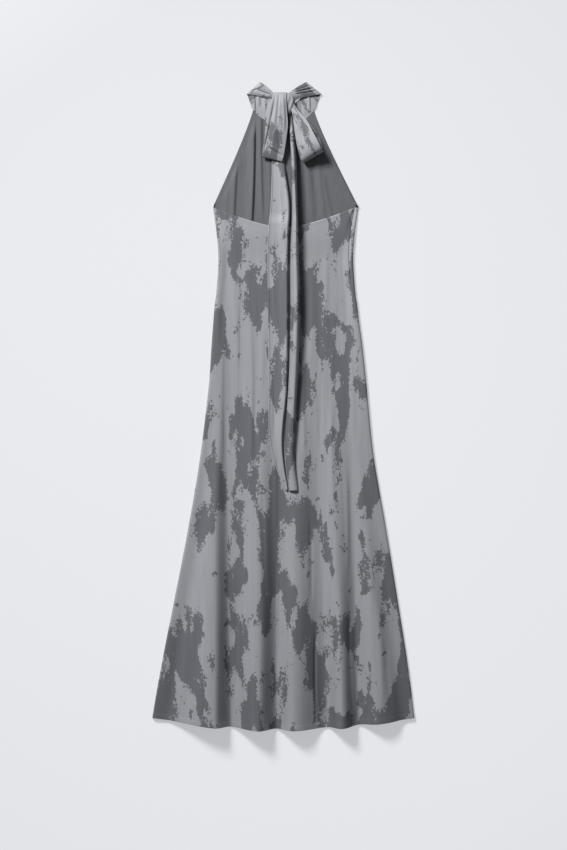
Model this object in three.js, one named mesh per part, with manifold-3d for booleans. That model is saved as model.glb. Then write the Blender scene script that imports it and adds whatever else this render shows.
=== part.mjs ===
// A long halter dress laid flat on its front, with its back up. Millimetres, +Z up.
// +Y runs from the hem to the neck, +X across the dress, and the surface it lies on is Z = 0.
// The origin is the middle of the dress on that surface.
// Cloth is a wall: a grid of points on one face, and the same grid moved out by the cloth's thickness.
import * as THREE from "three";
import { mergeVertices } from "three/addons/utils/BufferGeometryUtils.js";
import Module from "manifold-3d";

const wasm = await Module();
wasm.setup();

// Driving sizes
const CLOTH = 1.2; // one layer of the dress
const BAND = 1.6; // the neck band and its ties are two layers
const SEAM_GAP = 0.3; // between pieces that are sewn or lie together
const SEAM_EDGE = 1; // the front runs on this far past its left side fold, to the seam
const UNDERARM_Y = 455; // where the side seams start
const HEM_Y = -719.5; // the hem at the side seams
const HEM_DROP = 24; // how much lower the back's hem is in the middle
const BACK_EDGE_Y = 407; // lowest point of the back's top edge
const BACK_EDGE_RISE = 46; // from there up to the underarms
const BACK_EDGE_BEND = 1.5; // 1 would be a straight V, 2 a round curve
const HOLLOW_LEFT = 4; // how far the left armhole edge curves in
const HOLLOW_RIGHT = 1.5;
const HOLLOW_HIGH = 0.7; // below 1 the hollow is deepest in the armhole's upper half
const ARMHOLE_CURL = 10; // the front turns over in this last stretch above the underarm
const LEAST_TURN = 0.02; // the side fold's angle where the front lies flat
const SIDE_FALL = 4; // the back comes down from each side fold over this many of its radii
const HIP_Y = -113; // where the flutes' upper widths are given
const FLUTE_SWELL = 1.4; // 1 would raise the flutes evenly on their way to the hem
const NARROWEST_FLUTE = 14;
const RIDGE_FADE = { from: 445, to: 365 }; // the front's gathers die out below the back's top edge
const RIDGE_ROOM = 40; // the back clears each gather by this much along it
const GATHER_AT_SEAM = 0.3; // a gather's width at the neck seam, against its width at the underarm
const TIE_LIFT = 3; // the ties lie this high above the front, on its gathers
const TIE_STEP = { from: 441, over: 26 }; // where the ties come down onto the back
const TIE_ROOM = 0.8; // the ties clear the back's folds by this much more
const FAR_EDGE = 0.2; // how high the cloth stands under a tie's right edge, in band thicknesses
const PLEAT_DEPTH = 0.6; // of the band's pleats, against how far its middle stands up
const BAND_CROWN = 1.5;

// The dress seen from above, from hem to underarm: its two side edges, how thick it is there,
// and how far the front's cloth wraps on past the right edge.
const OUTLINE = [
  { y: -743.5, left: -301.5, right: 302, thick: 12, wrap: 1 },
  { y: -719.5, left: -300.5, right: 300.8, thick: 12, wrap: 1 },
  { y: -610, left: -282.3, right: 288, thick: 12, wrap: 1 },
  { y: -444, left: -250, right: 262.3, thick: 12, wrap: 1 },
  { y: -278, left: -218, right: 235.5, thick: 11.5, wrap: 1 },
  { y: -113, left: -190.6, right: 207.5, thick: 11, wrap: 1 },
  { y: 53, left: -170.8, right: 191, thick: 10, wrap: 1 },
  { y: 135, left: -165.4, right: 182, thick: 9.5, wrap: 1 },
  { y: 218, left: -158.8, right: 170.6, thick: 9, wrap: 2 },
  { y: 329, left: -150, right: 160.2, thick: 8, wrap: 6 },
  { y: 391, left: -153.5, right: 163.6, thick: 7.5, wrap: 7 },
  { y: 455, left: -162.4, right: 172.4, thick: 7, wrap: 7 },
];

// Flutes of the back's skirt. At the hem and at the hip: the crest's place across, and how far the
// flute spreads to its left and right. height is at the hem, and start is where it begins to rise.
const FLUTES = [
  { hemX: -167, hemLeft: 100, hemRight: 43, hipX: -161, hipLeft: 27, hipRight: 28, height: 46, start: 270 },
  { hemX: -66, hemLeft: 57, hemRight: 48, hipX: -60, hipLeft: 62, hipRight: 38, height: 42, start: 90 },
  { hemX: 28, hemLeft: 45, hemRight: 70, hipX: 31, hipLeft: 50, hipRight: 36, height: 34, start: 60 },
  { hemX: 127, hemLeft: 30, hemRight: 40, hipX: 103, hipLeft: 38, hipRight: 40, height: 37, start: 60 },
  { hemX: 208, hemLeft: 40, hemRight: 62, hipX: 176, hipLeft: 32, hipRight: 26, height: 30, start: 40 },
];

// Lines down the front between its two armhole edges: their place at the neck seam and at the
// underarm. A line with a height is the crest of a gather, and has a foot on each side.
const FRONT_LINES = [
  { neckX: -54, underarmX: -142, height: 0 },
  { neckX: -51.5, underarmX: -116, height: 3.2, foot: 6 },
  { neckX: -47.5, underarmX: -95, height: 0 },
  { neckX: -44, underarmX: -75, height: 4.5, foot: 5 },
  { neckX: -30, underarmX: -50, height: 2.6, foot: 6 },
  { neckX: -14, underarmX: -24, height: 1.6, foot: 6 },
  { neckX: 4, underarmX: 8, height: 1.4, foot: 6 },
  { neckX: 22, underarmX: 42, height: 3, foot: 6 },
  { neckX: 36, underarmX: 78, height: 2.2, foot: 6 },
  { neckX: 48, underarmX: 108, height: 3, foot: 6 },
  { neckX: 54, underarmX: 138, height: 0 },
];

// The front half of the neck band, from its left fold to its right one: its lower edge, which is
// the neck seam in the middle, and its upper edge.
const BAND_FRONT = [
  { at: 0, lowX: -82.2, lowY: 711.4, highX: -50.6, highY: 739.4, gather: 0 },
  { at: 0.12, lowX: -77.5, lowY: 697, highX: -42, highY: 718, gather: 1.2 },
  { at: 0.25, lowX: -70, lowY: 679, highX: -33, highY: 702, gather: 0 },
  { at: 0.37, lowX: -45, lowY: 656, highX: -20, highY: 691, gather: 1.2 },
  { at: 0.5, lowX: 0, lowY: 637, highX: 0, highY: 685, gather: 0 },
  { at: 0.63, lowX: 47, lowY: 655, highX: 21, highY: 691, gather: 1.2 },
  { at: 0.75, lowX: 70.5, lowY: 677, highX: 37, highY: 703, gather: 0 },
  { at: 0.88, lowX: 79.5, lowY: 697, highX: 44, highY: 719, gather: 1.2 },
  { at: 1, lowX: 84.2, lowY: 712.1, highX: 49.1, highY: 739.1, gather: 0 },
];
const SEAM_FROM = 0.25; // the stretch of the band that the front is gathered into
const SEAM_TO = 0.75;

// The back halves of the band, from their fold at the side of the neck to the knot.
const BAND_LEFT = [
  { at: 0, lowX: -82.7, lowY: 711.9, highX: -51.1, highY: 739.9, lowZ: 0.8, highZ: 0.8, pleat: 0 },
  { at: 0.05, lowX: -84.2, lowY: 713.2, highX: -52.4, highY: 741.6, lowZ: 1.8, highZ: 1.8, pleat: 0 },
  { at: 0.1, lowX: -84.8, lowY: 713.6, highX: -53, highY: 742.3, lowZ: 3.8, highZ: 3.8, pleat: 0 },
  { at: 0.16, lowX: -83.5, lowY: 713.6, highX: -52, highY: 741.3, lowZ: 5.2, highZ: 6.4, pleat: 0.3 },
  { at: 0.25, lowX: -75, lowY: 713.4, highX: -48, highY: 738, lowZ: 5.4, highZ: 8.2, pleat: 0.8 },
  { at: 0.6, lowX: -49, lowY: 710, highX: -34.5, highY: 727, lowZ: 5.6, highZ: 9.6, pleat: 1.4 },
  { at: 0.85, lowX: -31, lowY: 705.5, highX: -23.5, highY: 714.5, lowZ: 8, highZ: 11, pleat: 1.5 },
  { at: 1, lowX: -12, lowY: 696, highX: -8, highY: 706, lowZ: 12, highZ: 12, pleat: 1.2 },
];
const BAND_RIGHT = [
  { at: 0, lowX: 84.7, lowY: 712.6, highX: 49.6, highY: 739.6, lowZ: 0.8, highZ: 0.8, pleat: 0 },
  { at: 0.05, lowX: 86.2, lowY: 714, highX: 51.2, highY: 741.2, lowZ: 1.8, highZ: 1.8, pleat: 0 },
  { at: 0.1, lowX: 86.7, lowY: 714.6, highX: 51.8, highY: 741.6, lowZ: 3.8, highZ: 3.8, pleat: 0 },
  { at: 0.16, lowX: 85.2, lowY: 714.2, highX: 50.6, highY: 740.6, lowZ: 5.4, highZ: 6.6, pleat: 0.4 },
  { at: 0.25, lowX: 77, lowY: 712.6, highX: 45.5, highY: 737.6, lowZ: 5.8, highZ: 8.6, pleat: 1.2 },
  { at: 0.6, lowX: 50, lowY: 707.3, highX: 27, highY: 726.5, lowZ: 6.4, highZ: 10, pleat: 2 },
  { at: 0.85, lowX: 31, lowY: 702, highX: 12, highY: 714.5, lowZ: 9, highZ: 12, pleat: 2 },
  { at: 1, lowX: 18, lowY: 690, highX: 8, highY: 703, lowZ: 12.5, highZ: 12.5, pleat: 1.6 },
];
const PLEATS_LEFT = 1.5; // waves across each half
const PLEATS_RIGHT = 2.5;

// The knot is a rounded roll of cloth, and every band, loop and tie ends against it.
const KNOT = { x: 10, y: 697, z: 12, rx: 20, ry: 19, rz: 9, creases: 7, depth: 0.05 };
const KNOT_ROOM = 1.3 * SEAM_GAP;

// The bow's loops, from the knot down the upper layer, round the fold and back up the lower layer.
const LOOP_LEFT = [
  { at: 0, leftX: -18.5, leftY: 711.5, rightX: 4.5, rightY: 712, leftZ: 3.6, rightZ: 3.6, crown: 0 },
  { at: 0.04, leftX: -19.5, leftY: 715, rightX: 6, rightY: 715.6, leftZ: 6.5, rightZ: 6.5, crown: 0 },
  { at: 0.08, leftX: -20.3, leftY: 716, rightX: 6.7, rightY: 717, leftZ: 12, rightZ: 12, crown: 0 },
  { at: 0.12, leftX: -22, leftY: 712.5, rightX: 6.8, rightY: 713, leftZ: 18.4, rightZ: 18.4, crown: 0.5 },
  { at: 0.17, leftX: -27.5, leftY: 698, rightX: 6.6, rightY: 698.5, leftZ: 23.4, rightZ: 23.4, crown: 1.2 },
  { at: 0.26, leftX: -40, leftY: 670.5, rightX: 8, rightY: 670.5, leftZ: 23.8, rightZ: 23.8, crown: 2.5 },
  { at: 0.34, leftX: -41.6, leftY: 641, rightX: 10, rightY: 641, leftZ: 23, rightZ: 23, crown: 3 },
  { at: 0.44, leftX: -43.6, leftY: 607.5, rightX: 6, rightY: 605, leftZ: 20.4, rightZ: 20.4, crown: 2 },
  { at: 0.52, leftX: -48, leftY: 583, rightX: 1.5, rightY: 576, leftZ: 16.4, rightZ: 16.4, crown: 1 },
  { at: 0.57, leftX: -48.6, leftY: 570, rightX: -1.8, rightY: 559, leftZ: 12.6, rightZ: 12.6, crown: 0 },
  { at: 0.62, leftX: -48, leftY: 574, rightX: -1.5, rightY: 563, leftZ: 9.6, rightZ: 9.6, crown: 0 },
  { at: 0.72, leftX: -43, leftY: 603, rightX: 1.5, rightY: 599, leftZ: 9.4, rightZ: 9.4, crown: 0 },
  { at: 0.86, leftX: -36, leftY: 645, rightX: 6, rightY: 645, leftZ: 9.4, rightZ: 9.4, crown: 0 },
  { at: 1, leftX: -16, leftY: 688, rightX: 6, rightY: 688, leftZ: 10.6, rightZ: 10.6, crown: 0 },
];
const LOOP_RIGHT = [
  { at: 0, leftX: 12, leftY: 689, rightX: 20, rightY: 694, leftZ: 15, rightZ: 15, crown: 0 },
  { at: 0.1, leftX: 19.8, leftY: 669, rightX: 32, rightY: 671.5, leftZ: 17.5, rightZ: 17.5, crown: 1.5 },
  { at: 0.2, leftX: 22.8, leftY: 649, rightX: 45.5, rightY: 651, leftZ: 21, rightZ: 21, crown: 3 },
  { at: 0.32, leftX: 27.3, leftY: 615.5, rightX: 65, rightY: 618, leftZ: 25.5, rightZ: 25.5, crown: 2.5 },
  { at: 0.44, leftX: 33.5, leftY: 581, rightX: 80.5, rightY: 590.5, leftZ: 28.5, rightZ: 28.5, crown: 1 },
  { at: 0.5, leftX: 39.5, leftY: 560.5, rightX: 88, rightY: 581, leftZ: 26, rightZ: 26, crown: 0 },
  { at: 0.55, leftX: 46, leftY: 554.5, rightX: 90.3, rightY: 579.5, leftZ: 17, rightZ: 17, crown: 0 },
  { at: 0.6, leftX: 43.5, leftY: 562, rightX: 91, rightY: 586, leftZ: 8, rightZ: 8, crown: 0 },
  { at: 0.72, leftX: 37, leftY: 598, rightX: 84.5, rightY: 609, leftZ: 6, rightZ: 6, crown: 0 },
  { at: 0.84, leftX: 33, leftY: 632, rightX: 68, rightY: 637, leftZ: 6, rightZ: 6, crown: 0 },
  { at: 0.93, leftX: 27, leftY: 660, rightX: 48.5, rightY: 661, leftZ: 6.6, rightZ: 6.6, crown: 0 },
  { at: 1, leftX: 15, leftY: 689, rightX: 24, rightY: 693, leftZ: 10, rightZ: 10, crown: 0 },
];

// The ties, from their slanted ends up to the knot. Each is a strip that stands up along a crest,
// whose place between the two edges is a share of the tie's width.
const TIE_LEFT = [
  { y: -196, left: 4.6, right: 9.6, height: 3.5, crest: 0.7 },
  { y: -188, left: 0.6, right: 9.6, height: 4.5, crest: 0.7 },
  { y: -144, left: -17.5, right: 2.4, height: 7, crest: 0.7 },
  { y: -101, left: -28.5, right: -2, height: 9, crest: 0.7 },
  { y: -57, left: -33.8, right: -1.2, height: 10.5, crest: 0.7 },
  { y: 35, left: -34, right: 7.8, height: 12, crest: 0.7 },
  { y: 207, left: -35.2, right: 11, height: 13, crest: 0.7 },
  { y: 380, left: -36.6, right: 10.8, height: 13, crest: 0.7 },
  { y: 453, left: -30.2, right: 14.4, height: 13, crest: 0.68 },
  { y: 529, left: -27.2, right: 6.2, height: 8, crest: 0.65 },
  { y: 564, left: -26.7, right: 2.4, height: 2.6, crest: 0.6 },
  { y: 610, left: -22, right: 4.4, height: 2.2, crest: 0.55 },
  { y: 661, left: -17, right: 7.6, height: 2.2, crest: 0.5 },
  { y: 686, left: -8, right: 7.4, height: 2.4, crest: 0.5 },
];
const TIE_RIGHT = [
  { y: -197, left: 12.4, right: 33.5, height: 6, crest: 0.5 },
  { y: -188, left: 12, right: 33, height: 7, crest: 0.5 },
  { y: -144, left: 6.6, right: 27.4, height: 11, crest: 0.5 },
  { y: -101, left: 3.8, right: 25.6, height: 14, crest: 0.55 },
  { y: -57, left: 4.4, right: 26.6, height: 17, crest: 0.6 },
  { y: 76, left: 12.4, right: 34, height: 22, crest: 0.62 },
  { y: 164, left: 14.7, right: 37, height: 25, crest: 0.64 },
  { y: 251, left: 15.4, right: 38, height: 27, crest: 0.64 },
  { y: 341, left: 15.4, right: 35.5, height: 27, crest: 0.62 },
  { y: 428, left: 19, right: 33.5, height: 26, crest: 0.58 },
  { y: 495, left: 19, right: 31.5, height: 25, crest: 0.5 },
  { y: 573, left: 17, right: 29.6, height: 22, crest: 0.42 },
  { y: 612, left: 14.6, right: 26, height: 18, crest: 0.42 },
  { y: 640, left: 13, right: 23.6, height: 10, crest: 0.45 },
  { y: 665, left: 11.4, right: 20, height: 3, crest: 0.5 },
  { y: 688, left: 9.4, right: 17, height: 2.4, crest: 0.5 },
];

// How finely the cloth is divided
const ARMHOLE_ROWS = [0, 0.12, 0.28, 0.45, 0.62, 0.8, 0.955]; // shares of the way to the underarm
const FRONT_LOWER_ROWS = 15; // underarm to hem
const ROLL_STEPS = 5; // round each side fold
const SEAM_STEPS = 24; // points that the neck seam is read from
const BACK_GRID = { rows: 24, columns: 50 };
const BAND_FRONT_GRID = { rows: 18, columns: 3 };
const BAND_BACK_GRID = { rows: 16, columns: 8 };
const LOOP_GRID = { rows: 24, columns: 6 };
const TIE_GRID = { rows: 28, columns: 8 };
const KNOT_GRID = { rows: 14, columns: 22 };

const COLOURS = { patterned: 0x8b8d91, wrongSide: 0x6a6c70 };

const mix = (a, b, t) => a + (b - a) * t;
const ease = (t) => THREE.MathUtils.smoothstep(t, 0, 1);

// The value of one column of a table at a place between its rows, on a smooth curve through them.
function read(table, key, column, at) {
  let i = 0;
  while (i < table.length - 2 && at > table[i + 1][key]) i += 1;
  const slope = (k) => {
    const before = table[Math.max(k - 1, 0)];
    const after = table[Math.min(k + 1, table.length - 1)];
    return (after[column] - before[column]) / (after[key] - before[key]);
  };
  const step = table[i + 1][key] - table[i][key];
  const t = THREE.MathUtils.clamp((at - table[i][key]) / step, 0, 1);
  const low = table[i][column];
  const high = table[i + 1][column];
  const bend = (1 - t) * (slope(i) * step - (high - low)) - t * (slope(i + 1) * step - (high - low));
  return mix(low, high, t) + t * (1 - t) * bend;
}

// Where a skirt or bodice section stands at y: its edges, side folds and seams.
function section(y) {
  const left = read(OUTLINE, "y", "left", y);
  const right = read(OUTLINE, "y", "right", y);
  const radius = read(OUTLINE, "y", "thick", y) / 2;
  const wrap = read(OUTLINE, "y", "wrap", y);
  const seamLeft = left + radius + SEAM_EDGE + 2 * SEAM_GAP;
  const seamRight = right - radius - wrap - 2 * SEAM_GAP;
  return { left, right, radius, wrap, seamLeft, seamRight };
}

// How much of the front's gathers is left at y.
const ridgeAt = (y) => ease((y - RIDGE_FADE.to) / (RIDGE_FADE.from - RIDGE_FADE.to));

// How high the tallest gather of the front stands at y, which is what the back's top edge rests on.
function gatherTop(y) {
  const tallest = Math.max(...FRONT_LINES.map((line) => line.height));
  return tallest * ridgeAt(y + RIDGE_ROOM);
}

// Height of the flutes at a point of the back.
function flutes(x, y) {
  const down = (HIP_Y - y) / (HIP_Y - HEM_Y);
  let height = 0;
  for (const flute of FLUTES) {
    const grown = Math.max(0, (flute.start - y) / (flute.start - HEM_Y)) ** FLUTE_SWELL;
    const away = x - mix(flute.hipX, flute.hemX, down);
    const leftWidth = mix(flute.hipLeft, flute.hemLeft, down);
    const rightWidth = mix(flute.hipRight, flute.hemRight, down);
    const spread = Math.max(away < 0 ? leftWidth : rightWidth, NARROWEST_FLUTE);
    const share = Math.min(Math.abs(away) / spread, 1);
    height += (flute.height * grown * (1 + Math.cos(Math.PI * share))) / 2;
  }
  return height;
}

// Height of the back's inner face: on the front in the valleys, up at the side folds and flutes.
function backUnder(x, y) {
  const s = section(y);
  const rest = CLOTH + SEAM_GAP + gatherTop(y);
  const fall = s.radius * SIDE_FALL;
  const fromLeft = ease((x - s.seamLeft) / fall);
  const fromRight = ease((s.seamRight - x) / fall);
  const atSide = 2 * s.radius - CLOTH - rest;
  const side = atSide * (2 - fromLeft - fromRight);
  return rest + side + flutes(x, y) * fromLeft * fromRight;
}

// What the ties lie on: the front above the back's top edge, and the back below it.
function tieRest(x, y) {
  const onBack = ease((TIE_STEP.from - y) / TIE_STEP.over);
  const backTop = backUnder(x, Math.min(y, BACK_EDGE_Y)) + CLOTH;
  return mix(CLOTH + TIE_LIFT, backTop + TIE_ROOM, onBack) + SEAM_GAP;
}

// The quads between neighbouring points of a grid, and those of a second layer that faces away.
function layerQuads(rows, columns, quad) {
  const count = rows * columns;
  for (let i = 0; i < rows - 1; i += 1) {
    for (let j = 0; j < columns - 1; j += 1) {
      const a = i * columns + j;
      quad(a, a + 1, a + columns + 1, a + columns);
      quad(count + a, count + a + columns, count + a + columns + 1, count + a + 1);
    }
  }
}

// The numbers of a grid's outer points, in order round it.
function rimOf(rows, columns) {
  const rim = [];
  for (let j = 0; j < columns - 1; j += 1) rim.push(j);
  for (let i = 0; i < rows - 1; i += 1) rim.push(i * columns + columns - 1);
  for (let j = columns - 1; j > 0; j -= 1) rim.push((rows - 1) * columns + j);
  for (let i = rows - 1; i > 0; i -= 1) rim.push(i * columns);
  return rim;
}

// The normal of a grid at one of its points.
function normalAt(face, i, j) {
  const row = (k) => THREE.MathUtils.clamp(k, 0, face.length - 1);
  const column = (k) => THREE.MathUtils.clamp(k, 0, face[0].length - 1);
  const across = face[i][column(j + 1)].clone().sub(face[i][column(j - 1)]);
  const along = face[row(i - 1)][j].clone().sub(face[row(i + 1)][j]);
  return across.cross(along).normalize();
}

// A closed wall between two layers of a grid, each moved along its normals by its own distance.
function wallGeometry(face, low, high) {
  const rows = face.length;
  const columns = face[0].length;
  const positions = [];
  for (const moved of [low, high]) {
    for (let i = 0; i < rows; i += 1) {
      for (let j = 0; j < columns; j += 1) {
        const point = face[i][j].clone().addScaledVector(normalAt(face, i, j), moved(i, j));
        positions.push(point.x, point.y, point.z);
      }
    }
  }
  const count = rows * columns;
  const index = [];
  const quad = (a, b, c, d) => index.push(a, b, c, a, c, d);
  layerQuads(rows, columns, quad);
  const rim = rimOf(rows, columns);
  rim.forEach((a, k) => {
    const b = rim[(k + 1) % rim.length];
    quad(b, a, count + a, count + b);
  });
  return facingOut(positions, index);
}

// A geometry from points and triangles, turned so that its faces point out.
function facingOut(positions, index) {
  let volume = 0;
  const corner = (k) => new THREE.Vector3().fromArray(positions, 3 * index[k]);
  for (let k = 0; k < index.length; k += 3) {
    volume += corner(k).dot(corner(k + 1).cross(corner(k + 2)));
  }
  if (volume < 0) index.reverse();
  return new THREE.BufferGeometry()
    .setAttribute("position", new THREE.Float32BufferAttribute(positions, 3))
    .setIndex(index);
}

// A grid of points from a function of the row and column shares, each from 0 to 1.
function grid({ rows, columns }, place) {
  return Array.from({ length: rows + 1 }, (_, i) =>
    Array.from({ length: columns + 1 }, (_, j) => place(i / rows, j / columns)),
  );
}

// Joins and cuts need the other library's solids.
function toSolid(geometry) {
  const bare = geometry.clone();
  bare.deleteAttribute("normal");
  bare.deleteAttribute("uv");
  const merged = mergeVertices(bare, 1e-4);
  return new wasm.Manifold(
    new wasm.Mesh({
      numProp: 3,
      vertProperties: merged.attributes.position.array,
      triVerts: new Uint32Array(merged.index.array),
    }),
  );
}

function toGeometry(solid) {
  const mesh = solid.getMesh();
  return new THREE.BufferGeometry()
    .setAttribute("position", new THREE.BufferAttribute(mesh.vertProperties, 3))
    .setIndex(new THREE.BufferAttribute(mesh.triVerts, 1));
}

// The neck seam at a share of the way from its left end to its right one.
const neckSeam = (share, column) => read(BAND_FRONT, "at", column, mix(SEAM_FROM, SEAM_TO, share));

// The neck seam as a table of its own, to read its y at any x.
const NECK_SEAM = Array.from({ length: SEAM_STEPS + 1 }, (_, k) => ({
  x: neckSeam(k / SEAM_STEPS, "lowX"),
  y: neckSeam(k / SEAM_STEPS, "lowY"),
}));

// Places across the front: the lines, with a foot on each side of every gather.
function frontColumns() {
  const columns = [];
  for (const line of FRONT_LINES) {
    if (line.height > 0) columns.push({ ...line, shift: -line.foot, height: 0 });
    columns.push({ ...line, shift: 0 });
    if (line.height > 0) columns.push({ ...line, shift: line.foot, height: 0 });
  }
  return columns;
}

// One row of the front: its two edges, and how its side folds turn.
function frontRow(y, down) {
  const s = section(Math.min(y, UNDERARM_Y));
  const hollow = Math.sin(Math.PI * down ** HOLLOW_HIGH);
  const curl = Math.PI * ease((UNDERARM_Y + ARMHOLE_CURL - y) / ARMHOLE_CURL);
  const turn = Math.max(curl, LEAST_TURN);
  return {
    y,
    down,
    turn,
    bow: (Math.PI * s.radius) / turn,
    left: mix(neckSeam(0, "lowX"), s.left, down) + HOLLOW_LEFT * hollow,
    right: mix(neckSeam(1, "lowX"), s.right, down) - HOLLOW_RIGHT * hollow,
    wrapRight: mix(SEAM_EDGE, s.wrap, down),
  };
}

// The rows of the front, from the neck seam to the underarm and on to the hem.
function frontRows() {
  const neckY = neckSeam(0, "lowY");
  const upper = ARMHOLE_ROWS.map((down) => frontRow(mix(neckY, UNDERARM_Y, down), down));
  const lower = Array.from({ length: FRONT_LOWER_ROWS + 1 }, (_, i) =>
    frontRow(mix(UNDERARM_Y, HEM_Y, i / FRONT_LOWER_ROWS), 1),
  );
  return [...upper, ...lower];
}

// How far a side fold reaches out from where it leaves the surface.
function reach(row, wrap) {
  if (row.turn > Math.PI / 2) return row.bow;
  return row.bow * Math.sin(row.turn) + wrap * Math.cos(row.turn);
}

// A side fold, from the surface up and over, and on by wrap to the seam.
function sideFold(row, start, out, wrap) {
  const points = Array.from({ length: ROLL_STEPS + 1 }, (_, k) => {
    const angle = (row.turn * k) / ROLL_STEPS;
    const x = start + out * row.bow * Math.sin(angle);
    return new THREE.Vector3(x, row.y, row.bow * (1 - Math.cos(angle)));
  });
  const past = new THREE.Vector3(out * wrap * Math.cos(row.turn), 0, wrap * Math.sin(row.turn));
  return [...points, points[ROLL_STEPS].clone().add(past)];
}

// Where a line of the front crosses one of its rows.
function columnX(column, row) {
  const underarm = section(UNDERARM_Y);
  const x = mix(column.neckX + column.shift * GATHER_AT_SEAM, column.underarmX + column.shift, row.down);
  if (row.down < 1) return x;
  return mix(row.left, row.right, (x - underarm.left) / (underarm.right - underarm.left));
}

// The rows near the neck bend down to follow the seam in its middle.
function bendToSeam(point, row) {
  const share = (point.x - row.left) / (row.right - row.left);
  const onSeam = mix(neckSeam(0, "lowX"), neckSeam(1, "lowX"), share);
  const seamY = read(NECK_SEAM, "x", "y", onSeam) - 2 * SEAM_GAP;
  point.setY(mix(seamY, UNDERARM_Y, row.down));
}

// The front's outer face, which lies on the surface and folds up and over at both sides.
function frontPanel() {
  const columns = frontColumns();
  const face = [];
  const raised = [];
  for (const row of frontRows()) {
    const left = sideFold(row, row.left + reach(row, SEAM_EDGE), -1, SEAM_EDGE).reverse();
    const middle = columns.map((column) => new THREE.Vector3(columnX(column, row), row.y, 0));
    const right = sideFold(row, row.right - reach(row, row.wrapRight), 1, row.wrapRight);
    const points = [...left, ...middle, ...right];
    if (row.down < 1) points.forEach((point) => bendToSeam(point, row));
    face.push(points);
    raised.push(points.map((_, j) => ridgeAt(row.y) * (columns[j - left.length]?.height ?? 0)));
  }
  return wallGeometry(face, () => 0, (i, j) => CLOTH + raised[i][j]);
}

// The back's inner face, between the two side seams.
function backPanel() {
  const face = grid(BACK_GRID, (down, across) => {
    const top = BACK_EDGE_Y + BACK_EDGE_RISE * Math.abs(2 * across - 1) ** BACK_EDGE_BEND;
    const hem = HEM_Y - HEM_DROP * Math.sin(Math.PI * across);
    const y = mix(top, hem, down);
    const s = section(y);
    const x = mix(s.seamLeft, s.seamRight, across);
    return new THREE.Vector3(x, y, backUnder(x, y));
  });
  return wallGeometry(face, () => 0, () => CLOTH);
}

// The band's front half lies on the surface, with soft gathers across it.
function bandFront() {
  const value = (column, at) => read(BAND_FRONT, "at", column, at);
  const face = grid(BAND_FRONT_GRID, (at, up) => {
    const x = mix(value("lowX", at), value("highX", at), up);
    const y = mix(value("lowY", at), value("highY", at), up);
    return new THREE.Vector3(x, y, 0);
  });
  return wallGeometry(face, () => 0, (i) => BAND + value("gather", i / BAND_FRONT_GRID.rows));
}

// A point between the left and right ends of a row of a table.
function between(table, at, across, left, right) {
  const value = (column) => read(table, "at", column, at);
  const x = mix(value(left + "X"), value(right + "X"), across);
  const y = mix(value(left + "Y"), value(right + "Y"), across);
  const z = mix(value(left + "Z"), value(right + "Z"), across);
  return new THREE.Vector3(x, y, z);
}

// A wall of the band's thickness with the grid in its middle.
const bandWall = (face) => wallGeometry(face, () => -BAND / 2, () => BAND / 2);

// A back half of the band: pleats run along it and draw together at the knot.
function bandBack(table, pleats) {
  const face = grid(BAND_BACK_GRID, (at, up) => {
    const pleat = PLEAT_DEPTH * Math.cos(2 * Math.PI * pleats * up) + BAND_CROWN * Math.sin(Math.PI * up);
    const point = between(table, at, up, "low", "high");
    return point.setZ(point.z + pleat * read(table, "at", "pleat", at));
  });
  return bandWall(face);
}

function loop(table) {
  const face = grid(LOOP_GRID, (at, across) => {
    const point = between(table, at, across, "left", "right");
    return point.setZ(point.z + read(table, "at", "crown", at) * Math.sin(Math.PI * across));
  });
  return bandWall(face);
}

// A tie's outer face. nearEdge is how high the cloth stands under its left edge, in band thicknesses.
function tie(table, nearEdge) {
  const tipY = table[0].y;
  const rootY = table[table.length - 1].y;
  const face = grid(TIE_GRID, (down, across) => {
    const y = mix(rootY, tipY, down);
    const share = (1 - Math.cos(Math.PI * across)) / 2;
    const x = mix(read(table, "y", "left", y), read(table, "y", "right", y), share);
    const leaning = share ** (Math.log(0.5) / Math.log(read(table, "y", "crest", y)));
    const arch = 2 * Math.sqrt(leaning * (1 - leaning));
    const foot = tieRest(x, y) + BAND * mix(nearEdge, FAR_EDGE, share);
    return new THREE.Vector3(x, y, foot + read(table, "y", "height", y) * arch);
  });
  return wallGeometry(face, () => -BAND, () => 0);
}

// The knot, with soft wrap lines pressed into it, grown on all sides by a clearance.
function knotGeometry(grown) {
  const ball = new THREE.SphereGeometry(1, KNOT_GRID.columns, KNOT_GRID.rows);
  const place = ball.attributes.position;
  for (let k = 0; k < place.count; k += 1) {
    const p = new THREE.Vector3().fromBufferAttribute(place, k);
    const pressed = 1 - KNOT.depth * Math.cos(KNOT.creases * Math.atan2(p.z, p.x));
    place.setXYZ(
      k,
      KNOT.x + p.x * (KNOT.rx * pressed + grown),
      KNOT.y + p.y * (KNOT.ry + grown),
      KNOT.z + p.z * (KNOT.rz * pressed + grown),
    );
  }
  return ball;
}

// The same piece with room left for the knot, keeping its largest part.
function clearOfKnot(geometry) {
  const room = toSolid(knotGeometry(KNOT_ROOM));
  const left = toSolid(geometry).subtract(room).decompose();
  left.sort((a, b) => b.volume() - a.volume());
  return toGeometry(left[0]);
}

const dress = new THREE.Group();

function sew(name, geometry, colour) {
  const material = new THREE.MeshStandardMaterial({ color: colour, roughness: 0.6, metalness: 0 });
  const mesh = new THREE.Mesh(geometry, material);
  mesh.name = name;
  dress.add(mesh);
}

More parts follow.
